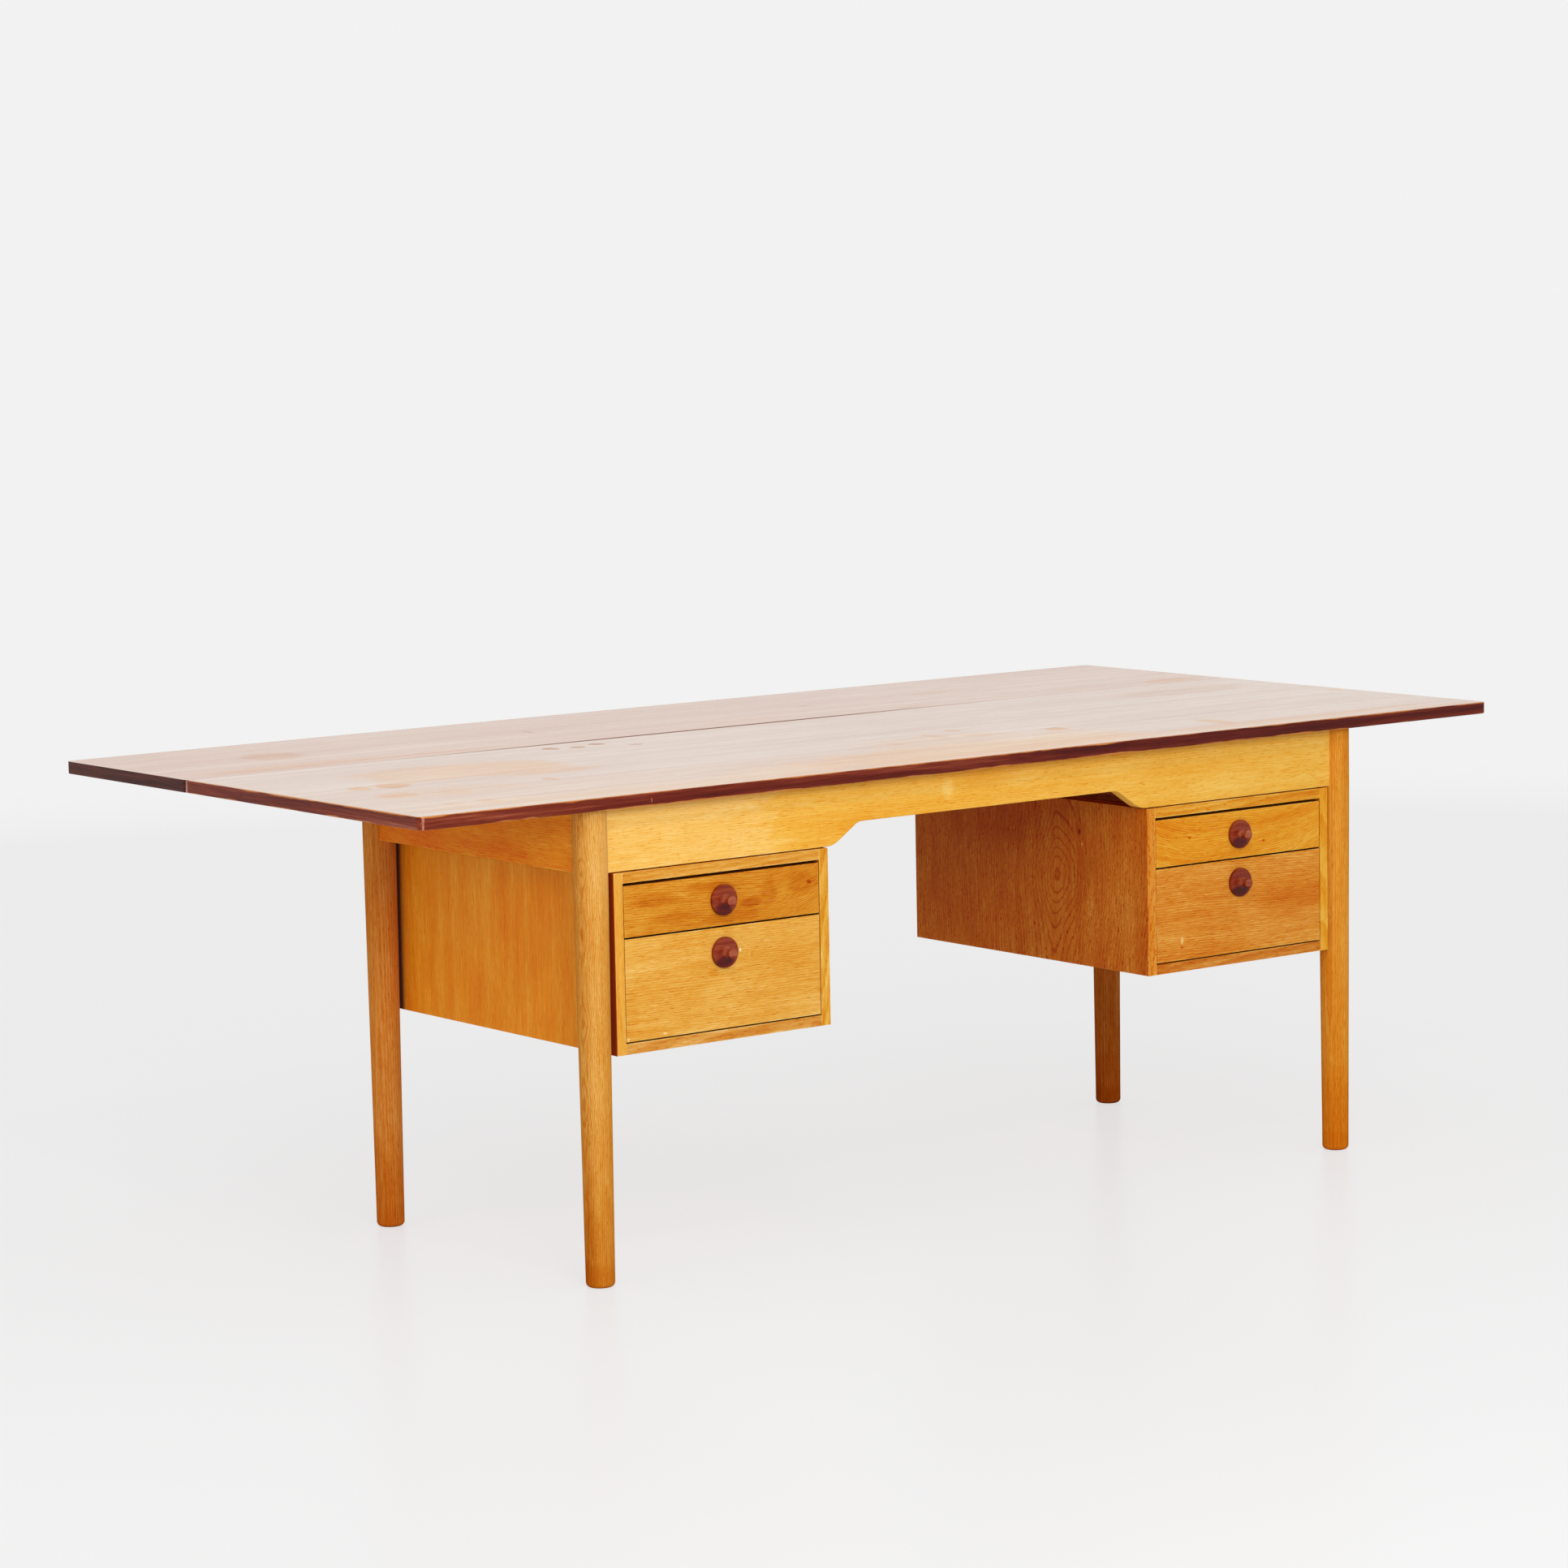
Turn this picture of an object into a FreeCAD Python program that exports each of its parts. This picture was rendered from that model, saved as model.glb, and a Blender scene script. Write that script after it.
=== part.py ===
# Writing desk: a long top with a raised drop leaf, on four round legs, with two hanging drawer cases.
# Millimetres. +Z is up, +X is the sitter's right and the drawers open towards -Y.
# The origin is on the floor, in the middle of the length and of the whole depth with the leaf raised.

import FreeCAD, Part
import math
import os

V = FreeCAD.Vector
X_AXIS = V(1, 0, 0)
Y_AXIS = V(0, 1, 0)
Z_AXIS = V(0, 0, 1)
ORIGIN = V(0, 0, 0)
FULL_TURN = 360.0
RIGHT_ANGLE = 90.0
SIDES = {"left": -1, "right": 1}

# Overall sizes
DESK_LENGTH = 2115.0
DESK_HEIGHT = 720.0
MAIN_DEPTH = 638.0
LEAF_DEPTH = 373.4
SEAM_GAP = 0.6

# Shared clearances
RUNNING_GAP = 0.4  # between pieces that slide on each other
OVERRUN = 5.0  # how far a cutter passes the face that it opens

# Top boards and their solid lipping
TOP_THICKNESS = 19.5
LIPPING_WIDTH = 6.0
PLAN_RADIUS = 10.5
MAIN_EDGE_RADIUS = 2.0
SEAM_EDGE_RADIUS = 1.0
LEAF_EDGE_RADIUS = 1.2

# Legs
END_OVERHANG = 315.5  # leg axis to the end of the top
FRONT_OVERHANG = 41.0
BACK_OVERHANG = 33.0
LEG_TOP_DIAMETER = 51.0
LEG_FOOT_DIAMETER = 43.0
LEG_FOOT_ROUNDING = 7.0

# Aprons, tenoned into the legs
APRON_HEIGHT = 95.0
APRON_THICKNESS = 20.0
APRON_FACE_OFFSET = 13.2  # outer face beyond the leg axis
APRON_EDGE_RADIUS = 1.2
SHOULDER_DISTANCE = 17.0  # leg axis to the apron's shoulder
TENON_TIP_DISTANCE = 5.0  # leg axis to the tenon's tip
TENON_THICKNESS = 9.0
TENON_DROP = 12.0  # how far the tenon stays below the top edge and above the lower one

# Arch of the front apron between the drawer cases
ARCH_RISE = 32.5
ARCH_SLOPE_RUN = 48.5
ARCH_LOWER_RADIUS = 41.0
ARCH_UPPER_RADIUS = 25.0

# Cross rails that the cases hang from
RAIL_THICKNESS = 20.0
RAIL_INSET = 25.0  # case side to the rail

# Glue blocks under the top
CLEAT_SIZE = 24.0
CLEAT_LENGTH = 120.0
CLEAT_PLACE_SHARES = (-0.75, 0.0, 0.75)

# Drawer cases
CASE_WIDTH = 393.6
CASE_LEG_GAP = 3.1
CASE_FRONT_OFFSET = 14.6  # case front before the front leg axis
CASE_BACK_OFFSET = 2.4  # case back behind the back leg axis
CASE_APRON_GAP = 1.6
CASE_SIDE_THICKNESS = 17.0
CASE_TOP_THICKNESS = 16.0
CASE_BOTTOM_THICKNESS = 16.0
CASE_BACK_THICKNESS = 8.0
CASE_REBATE = 8.0  # how far the back is let into each side
CASE_EDGE_RADIUS = 0.8

# Drawers
UPPER_FRONT_HEIGHT = 76.0
LOWER_FRONT_HEIGHT = 151.0
FRONT_TOP_GAP = 4.0
FRONT_GAP = 2.0
FRONT_THICKNESS = 18.0
FRONT_EDGE_RADIUS = 0.9
DRAWER_SIDE_GAP = 1.5
DRAWER_BACK_GAP = 15.0
DRAWER_SIDE_THICKNESS = 12.0
DRAWER_SIDE_RISE = 6.0  # lower edge of the side above that of the front
DRAWER_SIDE_DROP = 9.0  # upper edge of the side below that of the front
DRAWER_BACK_THICKNESS = 11.0
DRAWER_BACK_DROP = 6.0
BOTTOM_THICKNESS = 5.0
BOTTOM_RISE = 8.0
BOTTOM_GROOVE_DEPTH = 6.0
BOTTOM_FIT = 0.3
RUNNER_HEIGHT = 14.0
RUNNER_GROOVE_DEPTH = 6.0
RUNNER_STOP = 22.0  # back of the drawer front to the closed end of the groove
RUNNER_BACK_INSET = 12.0

# Lapped dovetails between the drawer fronts and sides
TAIL_LENGTH = 12.0
TAIL_PITCH = 30.0
TAIL_ROOT_SHARE = 0.45
TAIL_TIP_SHARE = 0.66

# Turned knobs
KNOB_DIAMETER = 46.0
KNOB_RIM = 5.5
KNOB_RIM_ROUNDING = 1.2
KNOB_PROJECTION = 23.0
KNOB_NECK_DIAMETER = 10.5
KNOB_FACE_RISE = 1.2  # from the rim to the foot of the flare
KNOB_FLARE_RADIUS = 6.5  # hollow between the face and the neck
KNOB_STUD_DIAMETER = 16.5
KNOB_STUD_THICKNESS = 3.2
KNOB_STUD_ROUNDING = 0.8
KNOB_SPIGOT_DIAMETER = 12.0
KNOB_SPIGOT_LENGTH = 14.0
KNOB_HOLE_CLEARANCE = 0.1
KNOB_DROP = 37.6  # knob axis below the upper edge of its front

# Butt hinges of the leaf
HINGE_PLACE_SHARES = (-0.42, -0.14, 0.14, 0.42)
HINGE_LENGTH = 70.0
HINGE_PLATE_WIDTH = 30.0
HINGE_PLATE_THICKNESS = 1.8
HINGE_KNUCKLE_RADIUS = 3.5
HINGE_PIN_RADIUS = 1.6
HINGE_PIN_CLEARANCE = 0.06
HINGE_TOP_GAP = 0.3  # underside of the top to the knuckles
HINGE_SIDE_GAP = 0.4  # knuckle to the other plate
HINGE_AXIAL_GAP = 0.3
HINGE_KNUCKLES = 5
HINGE_SEAT_CLEARANCE = 0.5
HINGE_SCREW_SHARES = (-0.32, 0.32)

# Screws: head radius, head height, shank radius, length
HINGE_SCREW = {"head": 2.9, "sink": 1.4, "shank": 1.4, "length": 14.0}
CASE_SCREW = {"head": 4.6, "sink": 3.0, "shank": 2.2, "length": 45.0}
SCREW_CLEARANCE = 0.1
CASE_SCREW_SHARES = (0.18, 0.82)

# Pull-out bearers that carry the raised leaf
BEARER_WIDTH = 36.0
BEARER_HEIGHT = 44.0
BEARER_LENGTH = 470.0
BEARER_TRAVEL = 260.0
BEARER_GRIP = 10.0  # how far the end stands out of the back apron when pushed in
BEARER_SLOT_GAP = 0.5
BEARER_END_RADIUS = 4.0
PEG_RADIUS = 4.0
PEG_LENGTH = 9.0
PEG_INSET = 30.0
GUIDE_WALL = 15.0
GUIDE_FLOOR = 12.0
GUIDE_FRONT_INSET = 10.0  # front end of the bearer to the front end of its guide

# Levels and lines that the pieces share
UNDERSIDE = DESK_HEIGHT - TOP_THICKNESS
APRON_BOTTOM = UNDERSIDE - APRON_HEIGHT
CASE_TOP = APRON_BOTTOM - CASE_APRON_GAP
LOWER_FRONT_TOP = CASE_TOP - CASE_TOP_THICKNESS - FRONT_TOP_GAP - UPPER_FRONT_HEIGHT - FRONT_GAP
UPPER_FRONT_BOTTOM = LOWER_FRONT_TOP + FRONT_GAP
LOWER_FRONT_BOTTOM = LOWER_FRONT_TOP - LOWER_FRONT_HEIGHT
CASE_BOTTOM = LOWER_FRONT_BOTTOM - FRONT_GAP - CASE_BOTTOM_THICKNESS

TOTAL_DEPTH = MAIN_DEPTH + SEAM_GAP + LEAF_DEPTH
MAIN_FRONT = -TOTAL_DEPTH / 2
MAIN_BACK = MAIN_FRONT + MAIN_DEPTH
LEAF_FRONT = MAIN_BACK + SEAM_GAP
LEAF_BACK = LEAF_FRONT + LEAF_DEPTH
HALF_LENGTH = DESK_LENGTH / 2

LEG_X = HALF_LENGTH - END_OVERHANG
FRONT_LEG_Y = MAIN_FRONT + FRONT_OVERHANG
BACK_LEG_Y = MAIN_BACK - BACK_OVERHANG
APRON_INNER_OFFSET = APRON_THICKNESS - APRON_FACE_OFFSET
FRAME_FRONT = FRONT_LEG_Y + APRON_INNER_OFFSET
FRAME_BACK = BACK_LEG_Y - APRON_INNER_OFFSET
APRON_OUTER_BACK = BACK_LEG_Y + APRON_FACE_OFFSET

CASE_OUTER_X = LEG_X - LEG_TOP_DIAMETER / 2 - CASE_LEG_GAP
CASE_INNER_X = CASE_OUTER_X - CASE_WIDTH
CASE_MIDDLE_X = (CASE_OUTER_X + CASE_INNER_X) / 2
CASE_FRONT = FRONT_LEG_Y - CASE_FRONT_OFFSET
CASE_BACK = BACK_LEG_Y + CASE_BACK_OFFSET
CASE_DEPTH = CASE_BACK - CASE_FRONT

DRAWER_HALF_WIDTH = CASE_WIDTH / 2 - CASE_SIDE_THICKNESS - DRAWER_SIDE_GAP
DRAWER_FRONT_BACK = CASE_FRONT + FRONT_THICKNESS
DRAWER_END = CASE_BACK - CASE_BACK_THICKNESS - DRAWER_BACK_GAP
RUNNER_THICKNESS = DRAWER_SIDE_GAP + RUNNER_GROOVE_DEPTH - RUNNING_GAP

PIN_Y = (MAIN_BACK + LEAF_FRONT) / 2
PIN_Z = UNDERSIDE - HINGE_TOP_GAP - HINGE_KNUCKLE_RADIUS
BEARER_TOP = UNDERSIDE - RUNNING_GAP
BEARER_END = APRON_OUTER_BACK + BEARER_GRIP
BEARER_START = BEARER_END - BEARER_LENGTH
PEG_Y = BEARER_START + PEG_INSET
SAME = 0.001


def block(x, y, z):
    """A box between two limits on each axis."""
    return Part.makeBox(x[1] - x[0], y[1] - y[0], z[1] - z[0], V(x[0], y[0], z[0]))


def prism(points, path):
    """A flat outline pulled straight along a path."""
    return Part.Face(Part.makePolygon(points + points[:1])).extrude(path)


def turned(edges, axis):
    """A closed profile turned once round an axis through the origin."""
    return Part.Face(Part.Wire(edges)).revolve(ORIGIN, axis, FULL_TURN)


def line(start, end):
    return Part.makeLine(start, end)


def arc(start, middle, end):
    return Part.Arc(start, middle, end).toShape()


def mirrored(shape):
    """The same piece on the other side of the desk."""
    return shape.mirror(ORIGIN, X_AXIS)


def on_side(shape, side):
    """A piece drawn for the right, put on the side asked for."""
    return shape if SIDES[side] > 0 else mirrored(shape)


def is_along(edge, axis):
    """Tells a straight edge that lies along an axis."""
    return (edge.Vertexes[-1].Point - edge.Vertexes[0].Point).cross(axis).Length < SAME


def eased(shape, radius, chosen, along=None):
    """Rounds each edge whose two ends both meet the test, or only those along an axis."""
    edges = [e for e in shape.Edges if len(e.Vertexes) == 2 and all(chosen(v.Point) for v in e.Vertexes)]
    if along:
        edges = [e for e in edges if is_along(e, along)]
    return shape.makeFillet(radius, edges)


def level(value):
    """Tests for points at one height."""
    return lambda p: abs(p.z - value) < SAME


def save(name, *solids):
    """Writes one piece, or one group of like pieces, as a STEP file."""
    shape = solids[0] if len(solids) == 1 else Part.makeCompound(list(solids))
    shape.exportStep(os.path.join("parts", name + ".step"))


def screw(sizes, clearance=0.0):
    """A countersunk screw pointing up, with the face of its head at z = 0. A clearance makes its hole."""
    head = sizes["head"] + clearance
    shank = sizes["shank"] + clearance
    top = sizes["length"] + clearance
    profile = [
        V(0, 0, 0),
        V(head, 0, 0),
        V(shank, 0, sizes["sink"]),
        V(shank, 0, top),
        V(0, 0, top),
    ]
    return Part.Face(Part.makePolygon(profile + profile[:1])).revolve(ORIGIN, Z_AXIS, FULL_TURN)


def bored(shape, holes):
    """A piece with all its holes cut at once."""
    return shape.cut(Part.makeCompound(holes)) if holes else shape


# Top boards

def board(front, back, rounded):
    """A whole board of the top, with the plan corners that the test picks rounded."""
    whole = block((-HALF_LENGTH, HALF_LENGTH), (front, back), (UNDERSIDE, DESK_HEIGHT))
    return eased(whole, PLAN_RADIUS, lambda p: rounded(p.y), Z_AXIS)


def level_edges(whole):
    """The edges round the upper and the lower face of a board."""
    return [e for e in whole.Edges if level(DESK_HEIGHT)(e.CenterOfMass) or level(UNDERSIDE)(e.CenterOfMass)]


def panel_of(front, back):
    """The veneered panel inside the lipping of a board."""
    return block(
        (-HALF_LENGTH + LIPPING_WIDTH, HALF_LENGTH - LIPPING_WIDTH),
        (front + LIPPING_WIDTH, back - LIPPING_WIDTH),
        (UNDERSIDE, DESK_HEIGHT),
    )


def mitred_strips(ring, front, back):
    """The four strips of a lipping, cut apart at 45 degrees."""
    reach = LIPPING_WIDTH + OVERRUN
    out = HALF_LENGTH + OVERRUN
    inner = HALF_LENGTH - LIPPING_WIDTH - OVERRUN
    low = UNDERSIDE - OVERRUN
    rise = V(0, 0, TOP_THICKNESS + 2 * OVERRUN)
    front_out = front - OVERRUN
    back_out = back + OVERRUN
    front_in = front + reach
    back_in = back - reach
    cutters = [
        [V(-out, front_out, low), V(out, front_out, low), V(inner, front_in, low), V(-inner, front_in, low)],
        [V(-out, back_out, low), V(-inner, back_in, low), V(inner, back_in, low), V(out, back_out, low)],
        [V(-out, front_out, low), V(-inner, front_in, low), V(-inner, back_in, low), V(-out, back_out, low)],
        [V(out, front_out, low), V(out, back_out, low), V(inner, back_in, low), V(inner, front_in, low)],
    ]
    return [ring.common(prism(points, rise)).Solids[0] for points in cutters]


def hinge_places():
    return [share * DESK_LENGTH for share in HINGE_PLACE_SHARES]


def hinge_screw_places(side):
    """Where the screws of the plates on one side of the seam stand."""
    y = PIN_Y + side * (HINGE_PLATE_WIDTH + HINGE_KNUCKLE_RADIUS) / 2
    z = UNDERSIDE - HINGE_PLATE_THICKNESS
    return [V(x + share * HINGE_LENGTH, y, z) for x in hinge_places() for share in HINGE_SCREW_SHARES]


def hinge_screws(side, clearance=0.0):
    return [screw(HINGE_SCREW, clearance).translated(place) for place in hinge_screw_places(side)]


def make_main_top():
    whole = board(MAIN_FRONT, MAIN_BACK, lambda y: y < MAIN_BACK - SAME)
    outline = [e for e in level_edges(whole) if abs(e.CenterOfMass.y - MAIN_BACK) > SAME]
    outer = whole.makeFillet(MAIN_EDGE_RADIUS, outline)
    seam = [e for e in level_edges(outer) if abs(e.CenterOfMass.y - MAIN_BACK) < SAME]
    outer = outer.makeFillet(SEAM_EDGE_RADIUS, seam)
    panel = panel_of(MAIN_FRONT, MAIN_BACK)
    save("main_top_panel", bored(panel, hinge_screws(-1, SCREW_CLEARANCE)))
    save("main_top_lipping", *mitred_strips(outer.cut(panel), MAIN_FRONT, MAIN_BACK))


def make_leaf():
    whole = board(LEAF_FRONT, LEAF_BACK, lambda y: True)
    outer = whole.makeFillet(LEAF_EDGE_RADIUS, level_edges(whole))
    panel = panel_of(LEAF_FRONT, LEAF_BACK)
    save("leaf_panel", bored(panel, hinge_screws(1, SCREW_CLEARANCE)))
    save("leaf_lipping", *mitred_strips(outer.cut(panel), LEAF_FRONT, LEAF_BACK))


# Legs and aprons

def leg_blank():
    """A turned leg on the Z axis: straight along the aprons, then tapering to a rounded foot."""
    top = LEG_TOP_DIAMETER / 2
    foot = LEG_FOOT_DIAMETER / 2
    flat = foot - LEG_FOOT_ROUNDING
    bend = LEG_FOOT_ROUNDING * math.sin(math.radians(RIGHT_ANGLE / 2))
    edges = [
        line(V(0, 0, 0), V(flat, 0, 0)),
        arc(V(flat, 0, 0), V(flat + bend, 0, LEG_FOOT_ROUNDING - bend), V(foot, 0, LEG_FOOT_ROUNDING)),
        line(V(foot, 0, LEG_FOOT_ROUNDING), V(top, 0, APRON_BOTTOM)),
        line(V(top, 0, APRON_BOTTOM), V(top, 0, UNDERSIDE)),
        line(V(top, 0, UNDERSIDE), V(0, 0, UNDERSIDE)),
        line(V(0, 0, UNDERSIDE), V(0, 0, 0)),
    ]
    return turned(edges, Z_AXIS)


def long_apron(centre_y):
    """A front or back apron: a board between its shoulders, and the tenon at each end."""
    shoulder = LEG_X - SHOULDER_DISTANCE
    tip = LEG_X - TENON_TIP_DISTANCE
    thick = (centre_y - APRON_THICKNESS / 2, centre_y + APRON_THICKNESS / 2)
    thin = (centre_y - TENON_THICKNESS / 2, centre_y + TENON_THICKNESS / 2)
    blade = block((-shoulder, shoulder), thick, (APRON_BOTTOM, UNDERSIDE))
    tenon = block((shoulder, tip), thin, (APRON_BOTTOM + TENON_DROP, UNDERSIDE - TENON_DROP))
    return blade, [tenon, mirrored(tenon)]


def make_front_apron():
    """The front apron, arched up between the cases with a rounded slope at each side."""
    centre_y = FRONT_LEG_Y - APRON_FACE_OFFSET + APRON_THICKNESS / 2
    blade, tenons = long_apron(centre_y)
    slope = math.atan(ARCH_RISE / ARCH_SLOPE_RUN)
    foot_x = CASE_INNER_X - ARCH_LOWER_RADIUS * math.tan(slope / 2)
    head_x = foot_x - ARCH_SLOPE_RUN
    face_y = centre_y - APRON_THICKNESS / 2
    head_z = APRON_BOTTOM + ARCH_RISE
    arch = prism(
        [
            V(-foot_x, face_y, APRON_BOTTOM),
            V(-head_x, face_y, head_z),
            V(head_x, face_y, head_z),
            V(foot_x, face_y, APRON_BOTTOM),
        ],
        V(0, APRON_THICKNESS, 0),
    )
    blade = blade.cut(arch)
    for radius, x, z in ((ARCH_LOWER_RADIUS, foot_x, APRON_BOTTOM), (ARCH_UPPER_RADIUS, head_x, head_z)):
        blade = eased(blade, radius, lambda p: abs(abs(p.x) - x) < SAME and level(z)(p), Y_AXIS)
    lower = [
        e for e in blade.Edges
        if e.CenterOfMass.z < head_z + SAME and abs(e.CenterOfMass.y - face_y) < SAME
        and abs(e.CenterOfMass.x) < LEG_X - SHOULDER_DISTANCE - SAME
    ]
    blade = blade.makeFillet(APRON_EDGE_RADIUS, lower)
    save("apron_front", blade.fuse(tenons).removeSplitter())
    return [blade] + tenons


def make_back_apron():
    """The back apron, notched for the bearers and let down under the hinge plates."""
    blade, tenons = long_apron(BACK_LEG_Y + APRON_FACE_OFFSET - APRON_THICKNESS / 2)
    blade = eased(blade, APRON_EDGE_RADIUS, lambda p: level(APRON_BOTTOM)(p) and p.y > BACK_LEG_Y)
    depth = (FRAME_BACK - OVERRUN, APRON_OUTER_BACK + OVERRUN)
    half_slot = BEARER_WIDTH / 2 + BEARER_SLOT_GAP
    slot_z = (BEARER_TOP - BEARER_HEIGHT - RUNNING_GAP, UNDERSIDE + OVERRUN)
    half_seat = HINGE_LENGTH / 2 + HINGE_SEAT_CLEARANCE
    seat_y = (PIN_Y - HINGE_PLATE_WIDTH - HINGE_SEAT_CLEARANCE, APRON_OUTER_BACK + OVERRUN)
    seat_z = (UNDERSIDE - HINGE_PLATE_THICKNESS - HINGE_SEAT_CLEARANCE, UNDERSIDE + OVERRUN)
    cutters = []
    for sign in SIDES.values():
        x = sign * CASE_MIDDLE_X
        cutters.append(block((x - half_slot, x + half_slot), depth, slot_z))
    for x in hinge_places():
        cutters.append(block((x - half_seat, x + half_seat), seat_y, seat_z))
    save("apron_back", bored(blade.fuse(tenons).removeSplitter(), cutters))
    return [blade] + tenons


def side_apron():
    """The right apron, between the front and the back leg."""
    outer = LEG_X + APRON_FACE_OFFSET
    centre = outer - APRON_THICKNESS / 2
    blade = block(
        (outer - APRON_THICKNESS, outer),
        (FRONT_LEG_Y + SHOULDER_DISTANCE, BACK_LEG_Y - SHOULDER_DISTANCE),
        (APRON_BOTTOM, UNDERSIDE),
    )
    blade = eased(blade, APRON_EDGE_RADIUS, lambda p: level(APRON_BOTTOM)(p) and p.x > LEG_X)
    tenons = block(
        (centre - TENON_THICKNESS / 2, centre + TENON_THICKNESS / 2),
        (FRONT_LEG_Y + TENON_TIP_DISTANCE, BACK_LEG_Y - TENON_TIP_DISTANCE),
        (APRON_BOTTOM + TENON_DROP, UNDERSIDE - TENON_DROP),
    )
    return blade, tenons


def make_frame():
    """Legs with their mortises, and the four aprons."""
    aprons = {"front": make_front_apron(), "back": make_back_apron()}
    side_blade, side_tenons = side_apron()
    for side in SIDES:
        save("apron_" + side, on_side(side_blade.fuse(side_tenons).removeSplitter(), side))
        for end, y in (("front", FRONT_LEG_Y), ("back", BACK_LEG_Y)):
            leg = leg_blank().translated(V(SIDES[side] * LEG_X, y, 0))
            mortises = aprons[end] + [on_side(side_blade, side), on_side(side_tenons, side)]
            save("leg_" + end + "_" + side, bored(leg, mortises))


def rail_centres():
    """The middle of the inner and of the outer cross rail over the right case."""
    inset = RAIL_INSET + RAIL_THICKNESS / 2
    return CASE_INNER_X + inset, CASE_OUTER_X - inset


def case_screw_places():
    z = CASE_TOP - CASE_TOP_THICKNESS
    return [V(x, CASE_FRONT + share * CASE_DEPTH, z) for x in rail_centres() for share in CASE_SCREW_SHARES]


def case_screws(clearance=0.0):
    return [screw(CASE_SCREW, clearance).translated(place) for place in case_screw_places()]


def make_cross_rails():
    """Four rails from apron to apron, which the cases are screwed up to, and the glue blocks."""
    half = RAIL_THICKNESS / 2
    rails = [
        block((x - half, x + half), (FRAME_FRONT, FRAME_BACK), (CASE_TOP, UNDERSIDE))
        for x in rail_centres()
    ]
    rails = [bored(rail, case_screws(SCREW_CLEARANCE)) for rail in rails]
    for side in SIDES:
        save("cross_rails_" + side, *[on_side(rail, side) for rail in rails])
    save("case_screws", *[on_side(one, side) for side in SIDES for one in case_screws()])
    cleats = []
    cleat_z = (UNDERSIDE - CLEAT_SIZE, UNDERSIDE)
    for share in CLEAT_PLACE_SHARES:
        middle = share * CASE_INNER_X
        cleat_x = (middle - CLEAT_LENGTH / 2, middle + CLEAT_LENGTH / 2)
        for cleat_y in ((FRAME_FRONT, FRAME_FRONT + CLEAT_SIZE), (FRAME_BACK - CLEAT_SIZE, FRAME_BACK)):
            cleats.append(block(cleat_x, cleat_y, cleat_z))
    save("top_glue_blocks", *cleats)


# Hinges and bearers of the leaf

def hinge_half(side, segments):
    """One plate of a hinge at x = 0 with its knuckles, on one side of the pin."""
    bottom = UNDERSIDE - HINGE_PLATE_THICKNESS
    near = PIN_Y + side * (HINGE_KNUCKLE_RADIUS + HINGE_SIDE_GAP)
    far = PIN_Y + side * HINGE_PLATE_WIDTH
    start = -HINGE_LENGTH / 2
    pitch = HINGE_LENGTH / HINGE_KNUCKLES
    shape = block((start, -start), (min(near, far), max(near, far)), (bottom, UNDERSIDE))
    for number in segments:
        x0 = start + number * pitch + HINGE_AXIAL_GAP / 2
        x1 = x0 + pitch - HINGE_AXIAL_GAP
        knuckle = Part.makeCylinder(HINGE_KNUCKLE_RADIUS, x1 - x0, V(x0, PIN_Y, PIN_Z), X_AXIS)
        tab = block((x0, x1), (min(near, PIN_Y), max(near, PIN_Y)), (bottom, PIN_Z + HINGE_KNUCKLE_RADIUS))
        shape = shape.fuse([knuckle, tab])
    bore = HINGE_PIN_RADIUS + HINGE_PIN_CLEARANCE
    pin_way = Part.makeCylinder(bore, HINGE_LENGTH + 2 * OVERRUN, V(start - OVERRUN, PIN_Y, PIN_Z), X_AXIS)
    return shape.cut(pin_way).removeSplitter()


def make_hinges():
    """Brass butt hinges under the seam: plates, pins and screws."""
    fixed = hinge_half(-1, range(0, HINGE_KNUCKLES, 2))
    moving = hinge_half(1, range(1, HINGE_KNUCKLES, 2))
    pin = Part.makeCylinder(HINGE_PIN_RADIUS, HINGE_LENGTH, V(-HINGE_LENGTH / 2, PIN_Y, PIN_Z), X_AXIS)
    places = [V(x, 0, 0) for x in hinge_places()]
    fixed_holes = hinge_screws(-1, SCREW_CLEARANCE)
    moving_holes = hinge_screws(1, SCREW_CLEARANCE)
    save("hinge_fixed_plates", *[bored(fixed.translated(place), fixed_holes) for place in places])
    save("hinge_leaf_plates", *[bored(moving.translated(place), moving_holes) for place in places])
    save("hinge_pins", *[pin.translated(place) for place in places])
    save("hinge_fixed_screws", *hinge_screws(-1))
    save("hinge_leaf_screws", *hinge_screws(1))


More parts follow.
